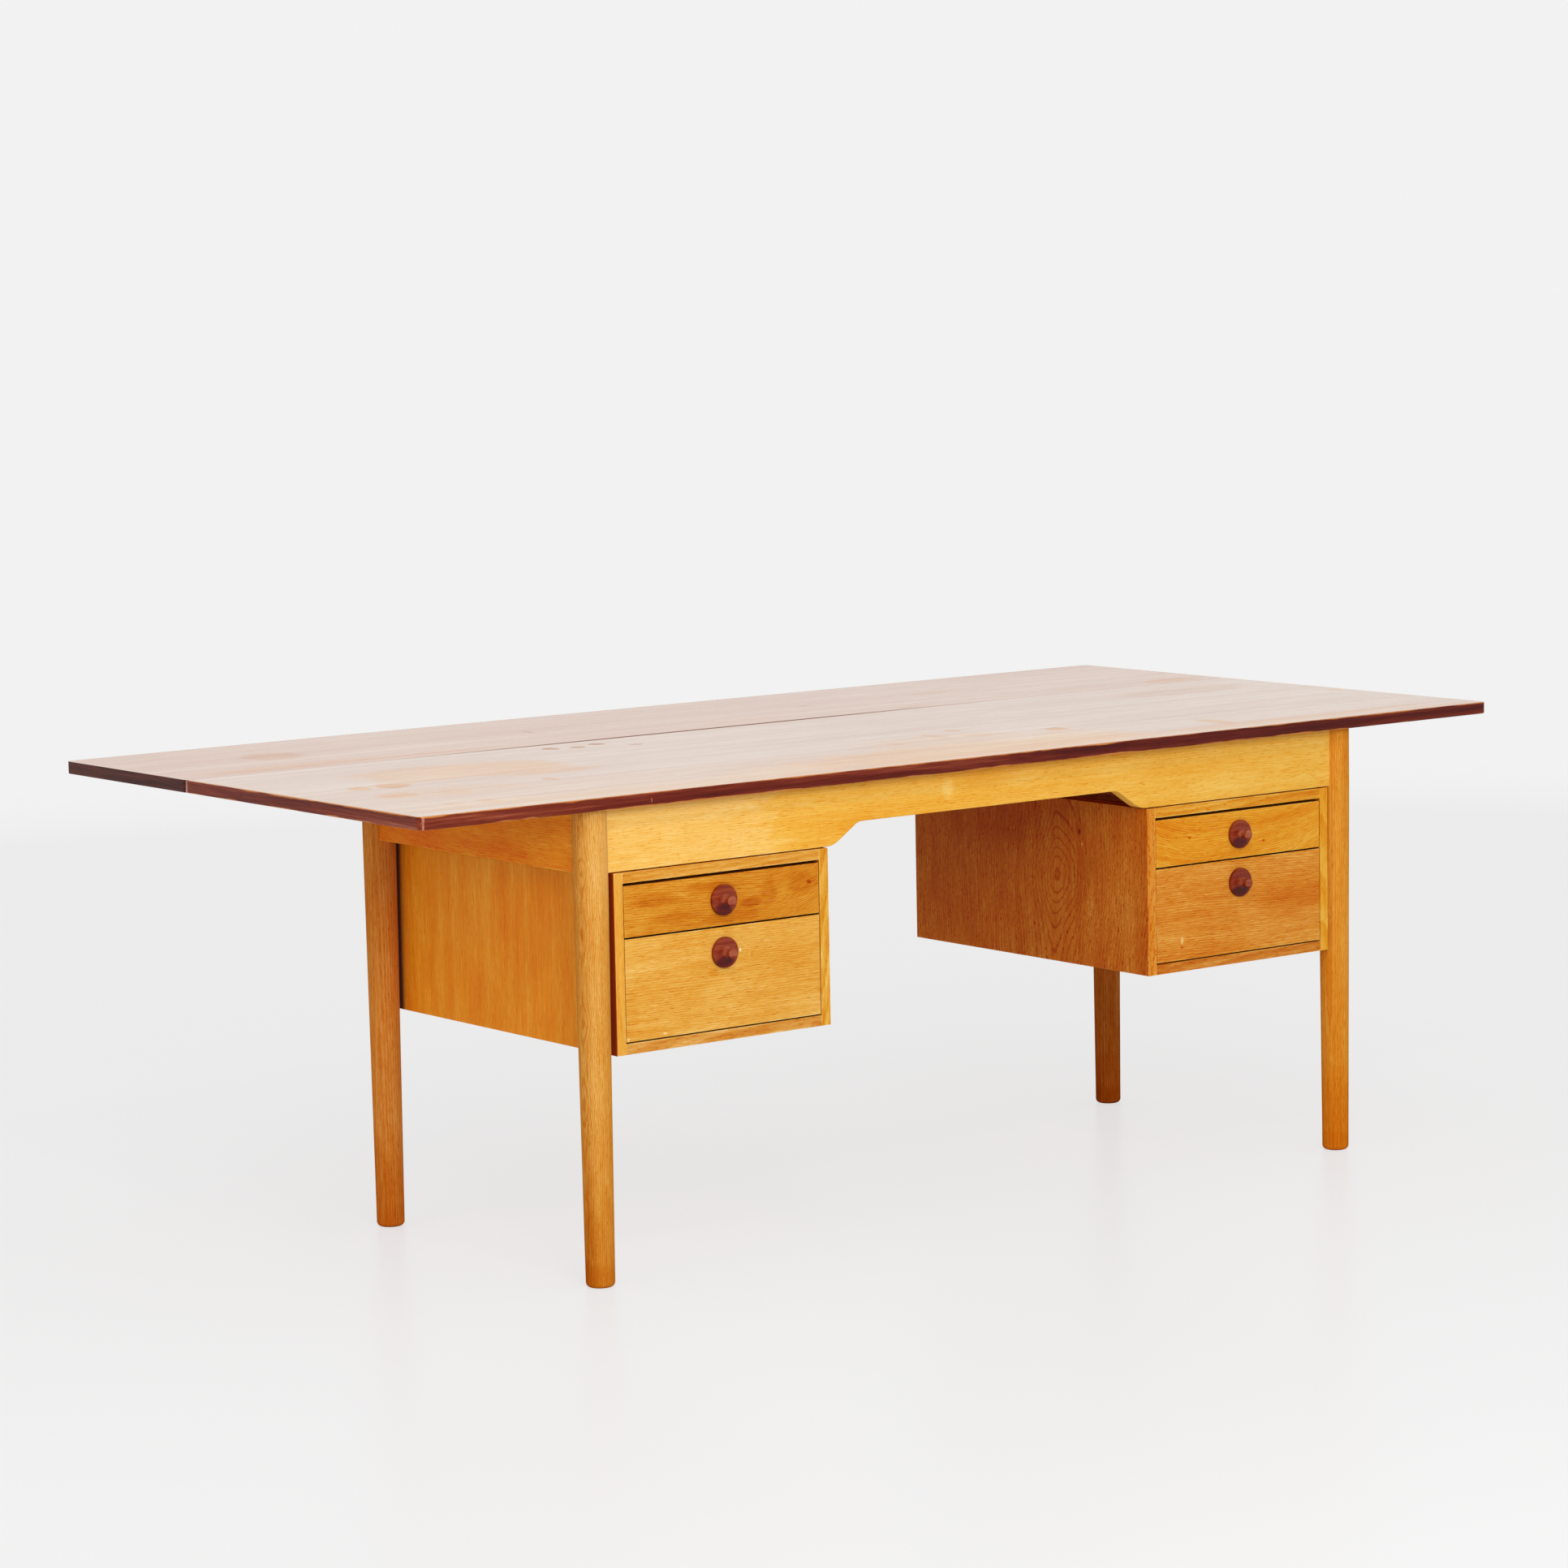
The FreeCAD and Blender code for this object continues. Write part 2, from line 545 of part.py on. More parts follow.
def make_bearers():
    """A sliding bearer over each case, with its stop peg, in a channel under the top."""
    middle = CASE_MIDDLE_X
    half = BEARER_WIDTH / 2
    bottom = BEARER_TOP - BEARER_HEIGHT
    bar = block((middle - half, middle + half), (BEARER_START, BEARER_END), (bottom, BEARER_TOP))
    bar = eased(bar, BEARER_END_RADIUS, lambda p: abs(p.y - BEARER_END) < SAME and level(bottom)(p))
    peg_foot = V(middle, PEG_Y, bottom - PEG_LENGTH)
    peg = Part.makeCylinder(PEG_RADIUS, PEG_LENGTH + BEARER_HEIGHT / 2, peg_foot)
    bearer = bar.fuse(peg).removeSplitter()

    inside = half + BEARER_SLOT_GAP
    outside = inside + GUIDE_WALL
    bed = bottom - RUNNING_GAP
    length = (BEARER_START + GUIDE_FRONT_INSET, FRAME_BACK)
    channel = block((middle - outside, middle + outside), length, (bed - GUIDE_FLOOR, UNDERSIDE))
    way = block(
        (middle - inside, middle + inside),
        (length[0] - OVERRUN, length[1] + OVERRUN),
        (bed, UNDERSIDE + OVERRUN),
    )
    slot_half = PEG_RADIUS + BEARER_SLOT_GAP
    slot = block(
        (middle - slot_half, middle + slot_half),
        (PEG_Y - slot_half, PEG_Y + BEARER_TRAVEL + slot_half),
        (bed - GUIDE_FLOOR - OVERRUN, bed + OVERRUN),
    )
    guide = bored(channel, [way, slot])
    for side in SIDES:
        save("leaf_bearer_" + side, on_side(bearer, side))
    save("bearer_guides", *[on_side(guide, side) for side in SIDES])


# Drawer cases

def case_side(outer_x, inner_x):
    """A case side over the full height, rebated for the back, drawn between its two faces."""
    low, high = min(outer_x, inner_x), max(outer_x, inner_x)
    plank = block((low, high), (CASE_FRONT, CASE_BACK), (CASE_BOTTOM, CASE_TOP))
    plank = eased(plank, CASE_EDGE_RADIUS, lambda p: abs(p.x - outer_x) < SAME)
    reach = CASE_REBATE if inner_x < outer_x else -CASE_REBATE
    rebate_x = sorted((inner_x, inner_x + reach))
    rebate = block(
        rebate_x,
        (CASE_BACK - CASE_BACK_THICKNESS, CASE_BACK + OVERRUN),
        (CASE_BOTTOM - OVERRUN, CASE_TOP + OVERRUN),
    )
    return plank.cut(rebate)


def runner_levels():
    """The lower edge of each runner: midway up the drawer sides."""
    levels = []
    for low, height in ((LOWER_FRONT_BOTTOM, LOWER_FRONT_HEIGHT), (UPPER_FRONT_BOTTOM, UPPER_FRONT_HEIGHT)):
        middle = low + (height + DRAWER_SIDE_RISE - DRAWER_SIDE_DROP) / 2
        levels.append(middle - RUNNER_HEIGHT / 2)
    return levels


def make_cases():
    """Two cases, each with two sides, a top, a bottom, a back and four drawer runners."""
    inner_face = CASE_INNER_X + CASE_SIDE_THICKNESS
    outer_face = CASE_OUTER_X - CASE_SIDE_THICKNESS
    between = (inner_face, outer_face)
    depth = (CASE_FRONT, CASE_BACK - CASE_BACK_THICKNESS)
    outer_side = case_side(CASE_OUTER_X, outer_face)
    inner_side = case_side(CASE_INNER_X, inner_face)
    top = block(between, depth, (CASE_TOP - CASE_TOP_THICKNESS, CASE_TOP))
    top = bored(top, case_screws(SCREW_CLEARANCE))
    bottom = block(between, depth, (CASE_BOTTOM, CASE_BOTTOM + CASE_BOTTOM_THICKNESS))
    bottom = eased(bottom, CASE_EDGE_RADIUS, lambda p: abs(p.y - CASE_FRONT) < SAME and level(CASE_BOTTOM)(p))
    back = block(
        (inner_face - CASE_REBATE, outer_face + CASE_REBATE),
        (CASE_BACK - CASE_BACK_THICKNESS, CASE_BACK),
        (CASE_BOTTOM, CASE_TOP),
    )
    runner_y = (
        DRAWER_FRONT_BACK + RUNNER_STOP + RUNNING_GAP,
        CASE_BACK - CASE_BACK_THICKNESS - RUNNER_BACK_INSET,
    )
    runners = []
    for low in runner_levels():
        height = (low, low + RUNNER_HEIGHT)
        runners.append(block((inner_face, inner_face + RUNNER_THICKNESS), runner_y, height))
        runners.append(block((outer_face - RUNNER_THICKNESS, outer_face), runner_y, height))
    for side in SIDES:
        save("case_" + side + "_outer_side", on_side(outer_side, side))
        save("case_" + side + "_inner_side", on_side(inner_side, side))
        save("case_" + side + "_top", on_side(top, side))
        save("case_" + side + "_bottom", on_side(bottom, side))
        save("case_" + side + "_back", on_side(back, side))
        save("case_" + side + "_runners", *[on_side(one, side) for one in runners])


# Drawers, drawn about x = 0 and then moved into their case

def tails(low, high):
    """The dovetails at the front end of a right-hand drawer side."""
    count = max(1, int((high - low) / TAIL_PITCH))
    pitch = (high - low) / count
    root = pitch * TAIL_ROOT_SHARE / 2
    tip = pitch * TAIL_TIP_SHARE / 2
    x = DRAWER_HALF_WIDTH - DRAWER_SIDE_THICKNESS
    y_tip = DRAWER_FRONT_BACK - TAIL_LENGTH
    found = []
    for number in range(count):
        z = low + (number + 0.5) * pitch
        outline = [
            V(x, DRAWER_FRONT_BACK, z - root),
            V(x, y_tip, z - tip),
            V(x, y_tip, z + tip),
            V(x, DRAWER_FRONT_BACK, z + root),
        ]
        found.append(prism(outline, V(DRAWER_SIDE_THICKNESS, 0, 0)))
    return found


def drawer_side(low, high, runner_low):
    """The right-hand drawer side, dovetailed, grooved inside for the bottom and outside for the runner."""
    inside = DRAWER_HALF_WIDTH - DRAWER_SIDE_THICKNESS
    plank = block((inside, DRAWER_HALF_WIDTH), (DRAWER_FRONT_BACK, DRAWER_END), (low, high))
    bottom_groove = block(
        (inside - OVERRUN, inside + BOTTOM_GROOVE_DEPTH),
        (DRAWER_FRONT_BACK, DRAWER_END + OVERRUN),
        (low + BOTTOM_RISE, low + BOTTOM_RISE + BOTTOM_THICKNESS + BOTTOM_FIT),
    )
    runner_groove = block(
        (DRAWER_HALF_WIDTH - RUNNER_GROOVE_DEPTH, DRAWER_HALF_WIDTH + OVERRUN),
        (DRAWER_FRONT_BACK + RUNNER_STOP, DRAWER_END + OVERRUN),
        (runner_low - RUNNING_GAP, runner_low + RUNNER_HEIGHT + RUNNING_GAP),
    )
    return bored(plank, [bottom_groove, runner_groove]).fuse(tails(low, high)).removeSplitter()


def knob():
    """A turned knob on the -Y axis, its disc's back at y = 0: spigot, disc, hollow flare, neck and stud."""
    rim = KNOB_DIAMETER / 2
    neck = KNOB_NECK_DIAMETER / 2
    stud = KNOB_STUD_DIAMETER / 2
    spigot = KNOB_SPIGOT_DIAMETER / 2
    shelf = rim - KNOB_RIM_ROUNDING
    face = KNOB_RIM + KNOB_FACE_RISE
    flare = neck + KNOB_FLARE_RADIUS
    flare_end = face + KNOB_FLARE_RADIUS
    stud_back = KNOB_PROJECTION - KNOB_STUD_THICKNESS
    turn = math.sin(math.radians(RIGHT_ANGLE / 2))
    rim_bend = KNOB_RIM_ROUNDING * turn
    flare_bend = KNOB_FLARE_RADIUS * turn
    stud_bend = KNOB_STUD_ROUNDING * turn
    stud_flat = stud - KNOB_STUD_ROUNDING
    edges = [
        line(V(0, KNOB_SPIGOT_LENGTH, 0), V(spigot, KNOB_SPIGOT_LENGTH, 0)),
        line(V(spigot, KNOB_SPIGOT_LENGTH, 0), V(spigot, 0, 0)),
        line(V(spigot, 0, 0), V(rim, 0, 0)),
        line(V(rim, 0, 0), V(rim, KNOB_RIM_ROUNDING - KNOB_RIM, 0)),
        arc(
            V(rim, KNOB_RIM_ROUNDING - KNOB_RIM, 0),
            V(shelf + rim_bend, KNOB_RIM_ROUNDING - KNOB_RIM - rim_bend, 0),
            V(shelf, -KNOB_RIM, 0),
        ),
        line(V(shelf, -KNOB_RIM, 0), V(flare, -face, 0)),
        arc(V(flare, -face, 0), V(flare - flare_bend, flare_bend - flare_end, 0), V(neck, -flare_end, 0)),
        line(V(neck, -flare_end, 0), V(neck, -stud_back, 0)),
        line(V(neck, -stud_back, 0), V(stud, -stud_back, 0)),
        line(V(stud, -stud_back, 0), V(stud, KNOB_STUD_ROUNDING - KNOB_PROJECTION, 0)),
        arc(
            V(stud, KNOB_STUD_ROUNDING - KNOB_PROJECTION, 0),
            V(stud_flat + stud_bend, KNOB_STUD_ROUNDING - KNOB_PROJECTION - stud_bend, 0),
            V(stud_flat, -KNOB_PROJECTION, 0),
        ),
        line(V(stud_flat, -KNOB_PROJECTION, 0), V(0, -KNOB_PROJECTION, 0)),
        line(V(0, -KNOB_PROJECTION, 0), V(0, KNOB_SPIGOT_LENGTH, 0)),
    ]
    return turned(edges, Y_AXIS)


def make_drawer(case, tier, bottom_z, height, runner_low):
    """One drawer: front, two sides, back, bottom and knob."""
    low = bottom_z + DRAWER_SIDE_RISE
    high = bottom_z + height - DRAWER_SIDE_DROP
    inside = DRAWER_HALF_WIDTH - DRAWER_SIDE_THICKNESS
    right = drawer_side(low, high, runner_low)
    left = mirrored(right)

    front = block(
        (-DRAWER_HALF_WIDTH, DRAWER_HALF_WIDTH),
        (CASE_FRONT, DRAWER_FRONT_BACK),
        (bottom_z, bottom_z + height),
    )
    front = eased(front, FRONT_EDGE_RADIUS, lambda p: abs(p.y - CASE_FRONT) < SAME)
    sheet_low = low + BOTTOM_RISE + BOTTOM_FIT / 2
    sheet_half = inside + BOTTOM_GROOVE_DEPTH - BOTTOM_FIT
    sheet_z = (sheet_low, sheet_low + BOTTOM_THICKNESS)
    tongue_y = (DRAWER_FRONT_BACK - BOTTOM_GROOVE_DEPTH + BOTTOM_FIT, DRAWER_FRONT_BACK + BOTTOM_THICKNESS)
    tongue = block((BOTTOM_FIT - inside, inside - BOTTOM_FIT), tongue_y, sheet_z)
    sheet = block((-sheet_half, sheet_half), (DRAWER_FRONT_BACK, DRAWER_END), sheet_z)
    sheet = sheet.fuse(tongue).removeSplitter()
    front_groove = block(
        (-inside, inside),
        (DRAWER_FRONT_BACK - BOTTOM_GROOVE_DEPTH, DRAWER_FRONT_BACK + OVERRUN),
        (low + BOTTOM_RISE, low + BOTTOM_RISE + BOTTOM_THICKNESS + BOTTOM_FIT),
    )
    knob_z = bottom_z + height - KNOB_DROP
    knob_hole = Part.makeCylinder(
        KNOB_SPIGOT_DIAMETER / 2 + KNOB_HOLE_CLEARANCE,
        KNOB_SPIGOT_LENGTH + KNOB_HOLE_CLEARANCE + OVERRUN,
        V(0, CASE_FRONT - OVERRUN, knob_z),
        Y_AXIS,
    )
    sockets = tails(low, high)
    sockets += [mirrored(one) for one in sockets]
    front = bored(front, [front_groove, knob_hole] + sockets)
    back = block(
        (-inside, inside),
        (DRAWER_END - DRAWER_BACK_THICKNESS, DRAWER_END),
        (sheet_low + BOTTOM_THICKNESS, high - DRAWER_BACK_DROP),
    )
    pieces = {
        "front": front,
        "left_side": left,
        "right_side": right,
        "back": back,
        "bottom": sheet,
        "knob": knob().translated(V(0, CASE_FRONT, knob_z)),
    }
    place = V(SIDES[case] * CASE_MIDDLE_X, 0, 0)
    for name, shape in pieces.items():
        save("drawer_" + case + "_" + tier + "_" + name, shape.translated(place))


def make_drawers():
    lower_runner, upper_runner = runner_levels()
    for case in SIDES:
        make_drawer(case, "upper", UPPER_FRONT_BOTTOM, UPPER_FRONT_HEIGHT, upper_runner)
        make_drawer(case, "lower", LOWER_FRONT_BOTTOM, LOWER_FRONT_HEIGHT, lower_runner)


os.makedirs("parts", exist_ok=True)
make_main_top()
make_leaf()
make_frame()
make_cross_rails()
make_hinges()
make_bearers()
make_cases()
make_drawers()
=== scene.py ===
# Writing desk: finishes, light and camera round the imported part. Metres, in the part's own frame.

import math

import bpy
from mathutils import Matrix, Vector


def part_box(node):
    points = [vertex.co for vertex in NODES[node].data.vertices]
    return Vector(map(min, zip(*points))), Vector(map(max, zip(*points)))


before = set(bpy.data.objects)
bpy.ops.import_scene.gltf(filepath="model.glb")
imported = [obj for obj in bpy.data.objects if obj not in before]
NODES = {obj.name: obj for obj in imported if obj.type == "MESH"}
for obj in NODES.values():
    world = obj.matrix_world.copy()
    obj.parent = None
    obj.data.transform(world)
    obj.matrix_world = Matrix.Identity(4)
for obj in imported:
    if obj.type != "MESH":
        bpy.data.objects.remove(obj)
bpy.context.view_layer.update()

# Camera, solved from the straight edges of the desk
IMAGE_PIXELS = 1932
FOCAL_PIXELS = 5618.5
SENSOR_MM = 36.0
CAMERA_PLACE = Vector((-4.4659, -5.8018, 1.4983))
CAMERA_YAW = math.radians(-37.381)
CAMERA_PITCH = math.radians(-6.739)
CAMERA_ROLL = math.radians(-1.127)

# Backdrop and floor
BACKDROP_SRGB = (242, 242, 242)
FLOOR_SRGB = (236, 235, 234)
FLOOR_ROUGHNESS = 0.28
FLOOR_SPECULAR = 0.35
FLOOR_HALF_SIZE = 14.0
FLOOR_FADE = (2.2, 6.0)  # distances from the middle at which the floor starts and ends melting away
FLOOR_DROP = 0.0005
FLOOR_OWN_LIGHT = 0.74  # share of the floor's look that shadows leave alone

# Light
AMBIENT = (0.68, 0.68, 0.69)
LIGHT_AIM = Vector((-0.15, -0.3, 0.5))
SOFTBOX_PLACE = Vector((-1.8, -4.2, 2.3))
SOFTBOX_SIZE = (2.4, 1.3)
SOFTBOX_POWER = 76.0
LAMP_PLACE = Vector((-1.8, -2.9, 3.6))
LAMP_SIZE = (0.4, 0.4)
LAMP_POWER = 20.0
FILL_PLACE = Vector((-5.0, -0.6, 1.5))
FILL_SIZE = (2.5, 2.0)
FILL_POWER = 16.0

# The sRGB curve
WHITE_LEVEL = 255.0
CURVE_START = 0.04045
CURVE_SLOPE = 12.92
CURVE_OFFSET = 0.055
CURVE_POWER = 2.4


def linear(level):
    """One 0-255 level made linear."""
    share = level / WHITE_LEVEL
    if share <= CURVE_START:
        return share / CURVE_SLOPE
    return ((share + CURVE_OFFSET) / (1.0 + CURVE_OFFSET)) ** CURVE_POWER


def colour(srgb):
    """A colour read as 0-255 values, made linear, with alpha."""
    return (*[linear(level) for level in srgb], 1.0)


def shade(srgb, share):
    """The same hue at a share of its light."""
    return (*[share * linear(level) for level in srgb], 1.0)


class Graph:
    """Short calls for building a node tree."""

    MIX_COLOURS = (6, 7, 2)  # sockets of a Mix node for colours: two inputs and the output
    MIX_VECTORS = (4, 5, 1)
    MAP_RANGE = (0, 1, 2, 3, 4)  # sockets for the value, where it comes from and where it goes to

    def __init__(self, owner):
        owner.use_nodes = True
        self.tree = owner.node_tree
        self.tree.nodes.clear()

    def add(self, kind, inputs=None, **settings):
        made = self.tree.nodes.new("ShaderNode" + kind)
        for name, value in settings.items():
            setattr(made, name, value)
        for key, value in (inputs or {}).items():
            self.give(made.inputs[key], value)
        return made

    def give(self, socket, value):
        if isinstance(value, bpy.types.NodeSocket):
            self.tree.links.new(value, socket)
        else:
            socket.default_value = value

    def math(self, operation, *values, clamp=False):
        return self.add("Math", dict(enumerate(values)), operation=operation, use_clamp=clamp).outputs[0]

    def vector(self, operation, *values):
        made = self.add("VectorMath", dict(enumerate(values)), operation=operation)
        return made.outputs["Value" if operation in ("LENGTH", "DOT_PRODUCT") else "Vector"]

    def split(self, vector):
        return self.add("SeparateXYZ", {0: vector}).outputs

    def join(self, x, y, z):
        return self.add("CombineXYZ", {0: x, 1: y, 2: z}).outputs[0]

    def noise(self, vector, scales, detail=0.0, roughness=0.5):
        """Noise about zero, with its own scale along each axis, per metre."""
        scaled = self.vector("MULTIPLY", vector, scales)
        inputs = {"Vector": scaled, "Scale": 1.0, "Detail": detail, "Roughness": roughness}
        return self.math("SUBTRACT", self.add("TexNoise", inputs).outputs["Fac"], 0.5)

    def ramp(self, value, low, high):
        """A smooth step from 0 at low to 1 at high. With high below low, it falls instead."""
        ends = (0.0, 1.0) if high > low else (1.0, 0.0)
        inputs = dict(zip(self.MAP_RANGE, (value, min(low, high), max(low, high), *ends)))
        return self.add("MapRange", inputs, interpolation_type="SMOOTHSTEP").outputs[0]

    def mix(self, share, first, second):
        first_socket, second_socket, result = self.MIX_COLOURS
        inputs = {"Factor": share, first_socket: first, second_socket: second}
        return self.add("Mix", inputs, data_type="RGBA").outputs[result]

    def mix_vectors(self, share, first, second):
        first_socket, second_socket, result = self.MIX_VECTORS
        inputs = {"Factor": share, first_socket: first, second_socket: second}
        return self.add("Mix", inputs, data_type="VECTOR").outputs[result]

    def weighted(self, *pairs):
        """The sum of each value times its weight."""
        total = None
        for value, weight in pairs:
            term = self.math("MULTIPLY", value, weight)
            total = term if total is None else self.math("ADD", total, term)
        return total

    def show(self, kind, shader):
        """Ends the tree in the output of its kind."""
        self.add("Output" + kind, {"Surface": shader.outputs[0]})


def put(node, material):
    """Gives a node of the part one material in all its slots."""
    slots = NODES[node].data.materials
    if len(slots) == 0:
        slots.append(material)
    for number in range(len(slots)):
        slots[number] = material


# Wood. Board coordinates run along the grain, into the board and across its face, from its middle.
# Layers of tone: noise scales per metre along and across the grain, octaves, weight

OAK = {
    "layers": (
        ((50.0, 760.0), 1.0, 0.75),
        ((9.0, 210.0), 2.0, 0.45),
        ((1.8, 48.0), 2.0, 0.60),
        ((7.0, 16.0), 2.0, 0.60),
    ),
    "ring_pitch": 0.0036, "ring": 0.22, "ring_from": 0.10,
    "pore": (85.0, 1150.0), "pore_from": 0.10, "pore_to": 0.24, "pore_depth": 0.85,
    "specular": 0.08, "roughness": 0.50,
}
TEAK = {
    "layers": (
        ((14.0, 620.0), 1.0, 0.45),
        ((2.4, 130.0), 2.0, 0.45),
        ((0.8, 28.0), 2.0, 0.45),
        ((2.6, 7.0), 2.0, 0.40),
    ),
    "ring_pitch": 0.0065, "ring": 0.10, "ring_from": 0.10,
    "pore": (30.0, 1000.0), "pore_from": 0.12, "pore_to": 0.26, "pore_depth": 0.50,
    "specular": 0.3, "roughness": 0.34,
}
PLAIN = {
    "layers": (
        ((40.0, 480.0), 1.0, 0.40),
        ((5.0, 120.0), 2.0, 0.30),
        ((1.8, 40.0), 2.0, 0.35),
        ((6.0, 14.0), 2.0, 0.25),
    ),
    "ring_pitch": 0.0055, "ring": 0.10, "ring_from": 0.10,
    "pore": (70.0, 900.0), "pore_from": 0.16, "pore_to": 0.30, "pore_depth": 0.45,
    "specular": 0.15, "roughness": 0.55,
}
SPECIES = {"oak": OAK, "teak": TEAK, "plain": PLAIN}
COMMON = {
    "contrast": 1.0,
    "wander": 0.004,  # how far the grain strays across the face
    "jagged": 0.0012,
    "arcs": (),  # start along the grain, direction, curvature
    "knots": (),  # along, across, size
    "marks": (),  # middle and half sizes along and across the face, strength
    "pith": (0.05, 0.10),  # from the board's middle, into the board and across its face
    "lean": 0.02,
    "loops": (),  # along the grain, reach, depth of a dip that closes the rings into loops
    "wear": 0.25,
    "wear_width": 0.0012,
    "worn_srgb": None,  # colour of the bare wood on a worn arris, mixed in where it is given
    "ragged": (20.0, 60.0),  # noise scales of the uneven outlines, along and across the grain
    "bare": (),  # places where the coat is worn thin, as for the marks
    "thinned": 0.30,  # how much of the coat a full stain takes
    "end_grain": 0.30,
    "edges": 0.0,  # share of painted shade on the long narrow faces, by the gaps round a drawer front
    "underside": 0.0,
    "stains_and_sheen": (),  # patches of colour from use and wear, and on the front apron a patch of painted sheen: middle and half sizes along and across the face, share, colour
    "faces": (),  # direction a face looks in and the colour it is given
    "painted_shade": (),  # low and high corner of a soft-edged box of painted shade, its softness and colour, on the desk
    "scuffs": 0.0,
    "plies": None,  # desk axis that the layers of plywood are stacked along
    "coat": 0.0,
    "coat_roughness": 0.2,
    "bump": 0.00010,
}
AXES = {"x": (0, 1, 2), "y": (1, 0, 2), "z": (2, 0, 1), "flat": (0, 2, 1)}
FRONTWARD = (0.0, -1.0, 0.0)
UPWARD = (0.0, 0.0, 1.0)
SEED_STEP = (3.1, 1.7, 2.3)
END_STRIP_SHIFT = 3.0  # sets the end strips of a lipping apart from the long ones
LEAST_DEPTH = 0.05

# Ramps over the cosine between a face and a direction
OWN_FACE = (0.60, 0.95)
END_FACE = (0.60, 0.85)
LONG_EDGE = (0.50, 0.80)
UNDER_FACE = (-0.40, -0.80)

# The way of the grain: a slow wander, a jagged one, and swirls round the knots
SLOW_SCALES = (4.0, 9.0, 9.0)
SLOW_SHARE = 2.5
JAGGED_SCALES = (110.0, 240.0, 240.0)
KNOT_SHAPE = (0.6, 0.0, 1.0)
KNOT_REACH = 5.0
KNOT_PULL = -0.6
KNOT_CORE = (1.1, 0.4)

# Rings and pores
RING_UNEVEN_SCALES = (0.8, 20.0, 20.0)
RING_UNEVEN = 4.0
RING_PEAK = 0.82
RING_FALL = (0.86, 1.0)
PORES_BY_RING = 0.6  # share of the pores that comes and goes with the rings

# Outlines of patches, and wear
RAGGED_OCTAVES = 3.0
RAGGED_ROUGHNESS = 0.62
PATCH_RAGGED = 1.2
MARK_RIM = (1.25, 0.55)
PATCH_RIM = (1.15, 0.80)
WEAR_RAGGED = 5.0
WEAR_CORE = 0.2

# Plies, painted gap shade and scratches
PLY_THICKNESS = 0.0016
PLY_STEP = (0.46, 0.54)
PLY_CONTRAST = 0.3
GAP_SHADE_REACH = 0.0085  # how far from the front face the painted shade of the long narrow faces runs
GAP_SHADE_FADE = 0.004
SCRATCH_SCALES = (26.0, 26.0, 420.0)
SCRATCH_CUT = (0.14, 0.24)
SCUFFED_SCALES = (6.0, 6.0, 14.0)
SCUFFED_CUT = (0.04, 0.20)
CHALK_SRGB = (240, 222, 190)
# Colours of painted shade: in the gaps round the drawer fronts and by the back leg, along the seam, and the
# front leg's shadow on the case flank.
PAINTED_SHADE_SRGB = (74, 27, 10)
SEAM_SHADE_SRGB = (128, 62, 10)
LEG_SHADOW_SRGB = (146, 49, 5)

# What roughens and raises the surface
SHEEN_RAGGED, SHEEN_PORES, SHEEN_WORN = 0.14, 0.12, 0.06
HEIGHT_DASHES, HEIGHT_RINGS, HEIGHT_PORES = 0.5, 0.05, -0.8
BUMP_STRENGTH = 0.6


def board_point(g, offset, grain, half):
    """Turns an offset from the middle of a board into board coordinates."""
    parts = g.split(offset)
    if grain == "ring":
        to_end = g.math("SUBTRACT", half.x, g.math("ABSOLUTE", parts[0]))
        to_side = g.math("SUBTRACT", half.y, g.math("ABSOLUTE", parts[1]))
        on_end = g.math("LESS_THAN", to_end, to_side)
        lengthwise = g.join(parts[0], parts[1], parts[2])
        crosswise = g.join(g.math("ADD", parts[1], END_STRIP_SHIFT), parts[0], parts[2])
        return g.mix_vectors(on_end, lengthwise, crosswise)
    return g.join(*[parts[axis] for axis in AXES[grain]])


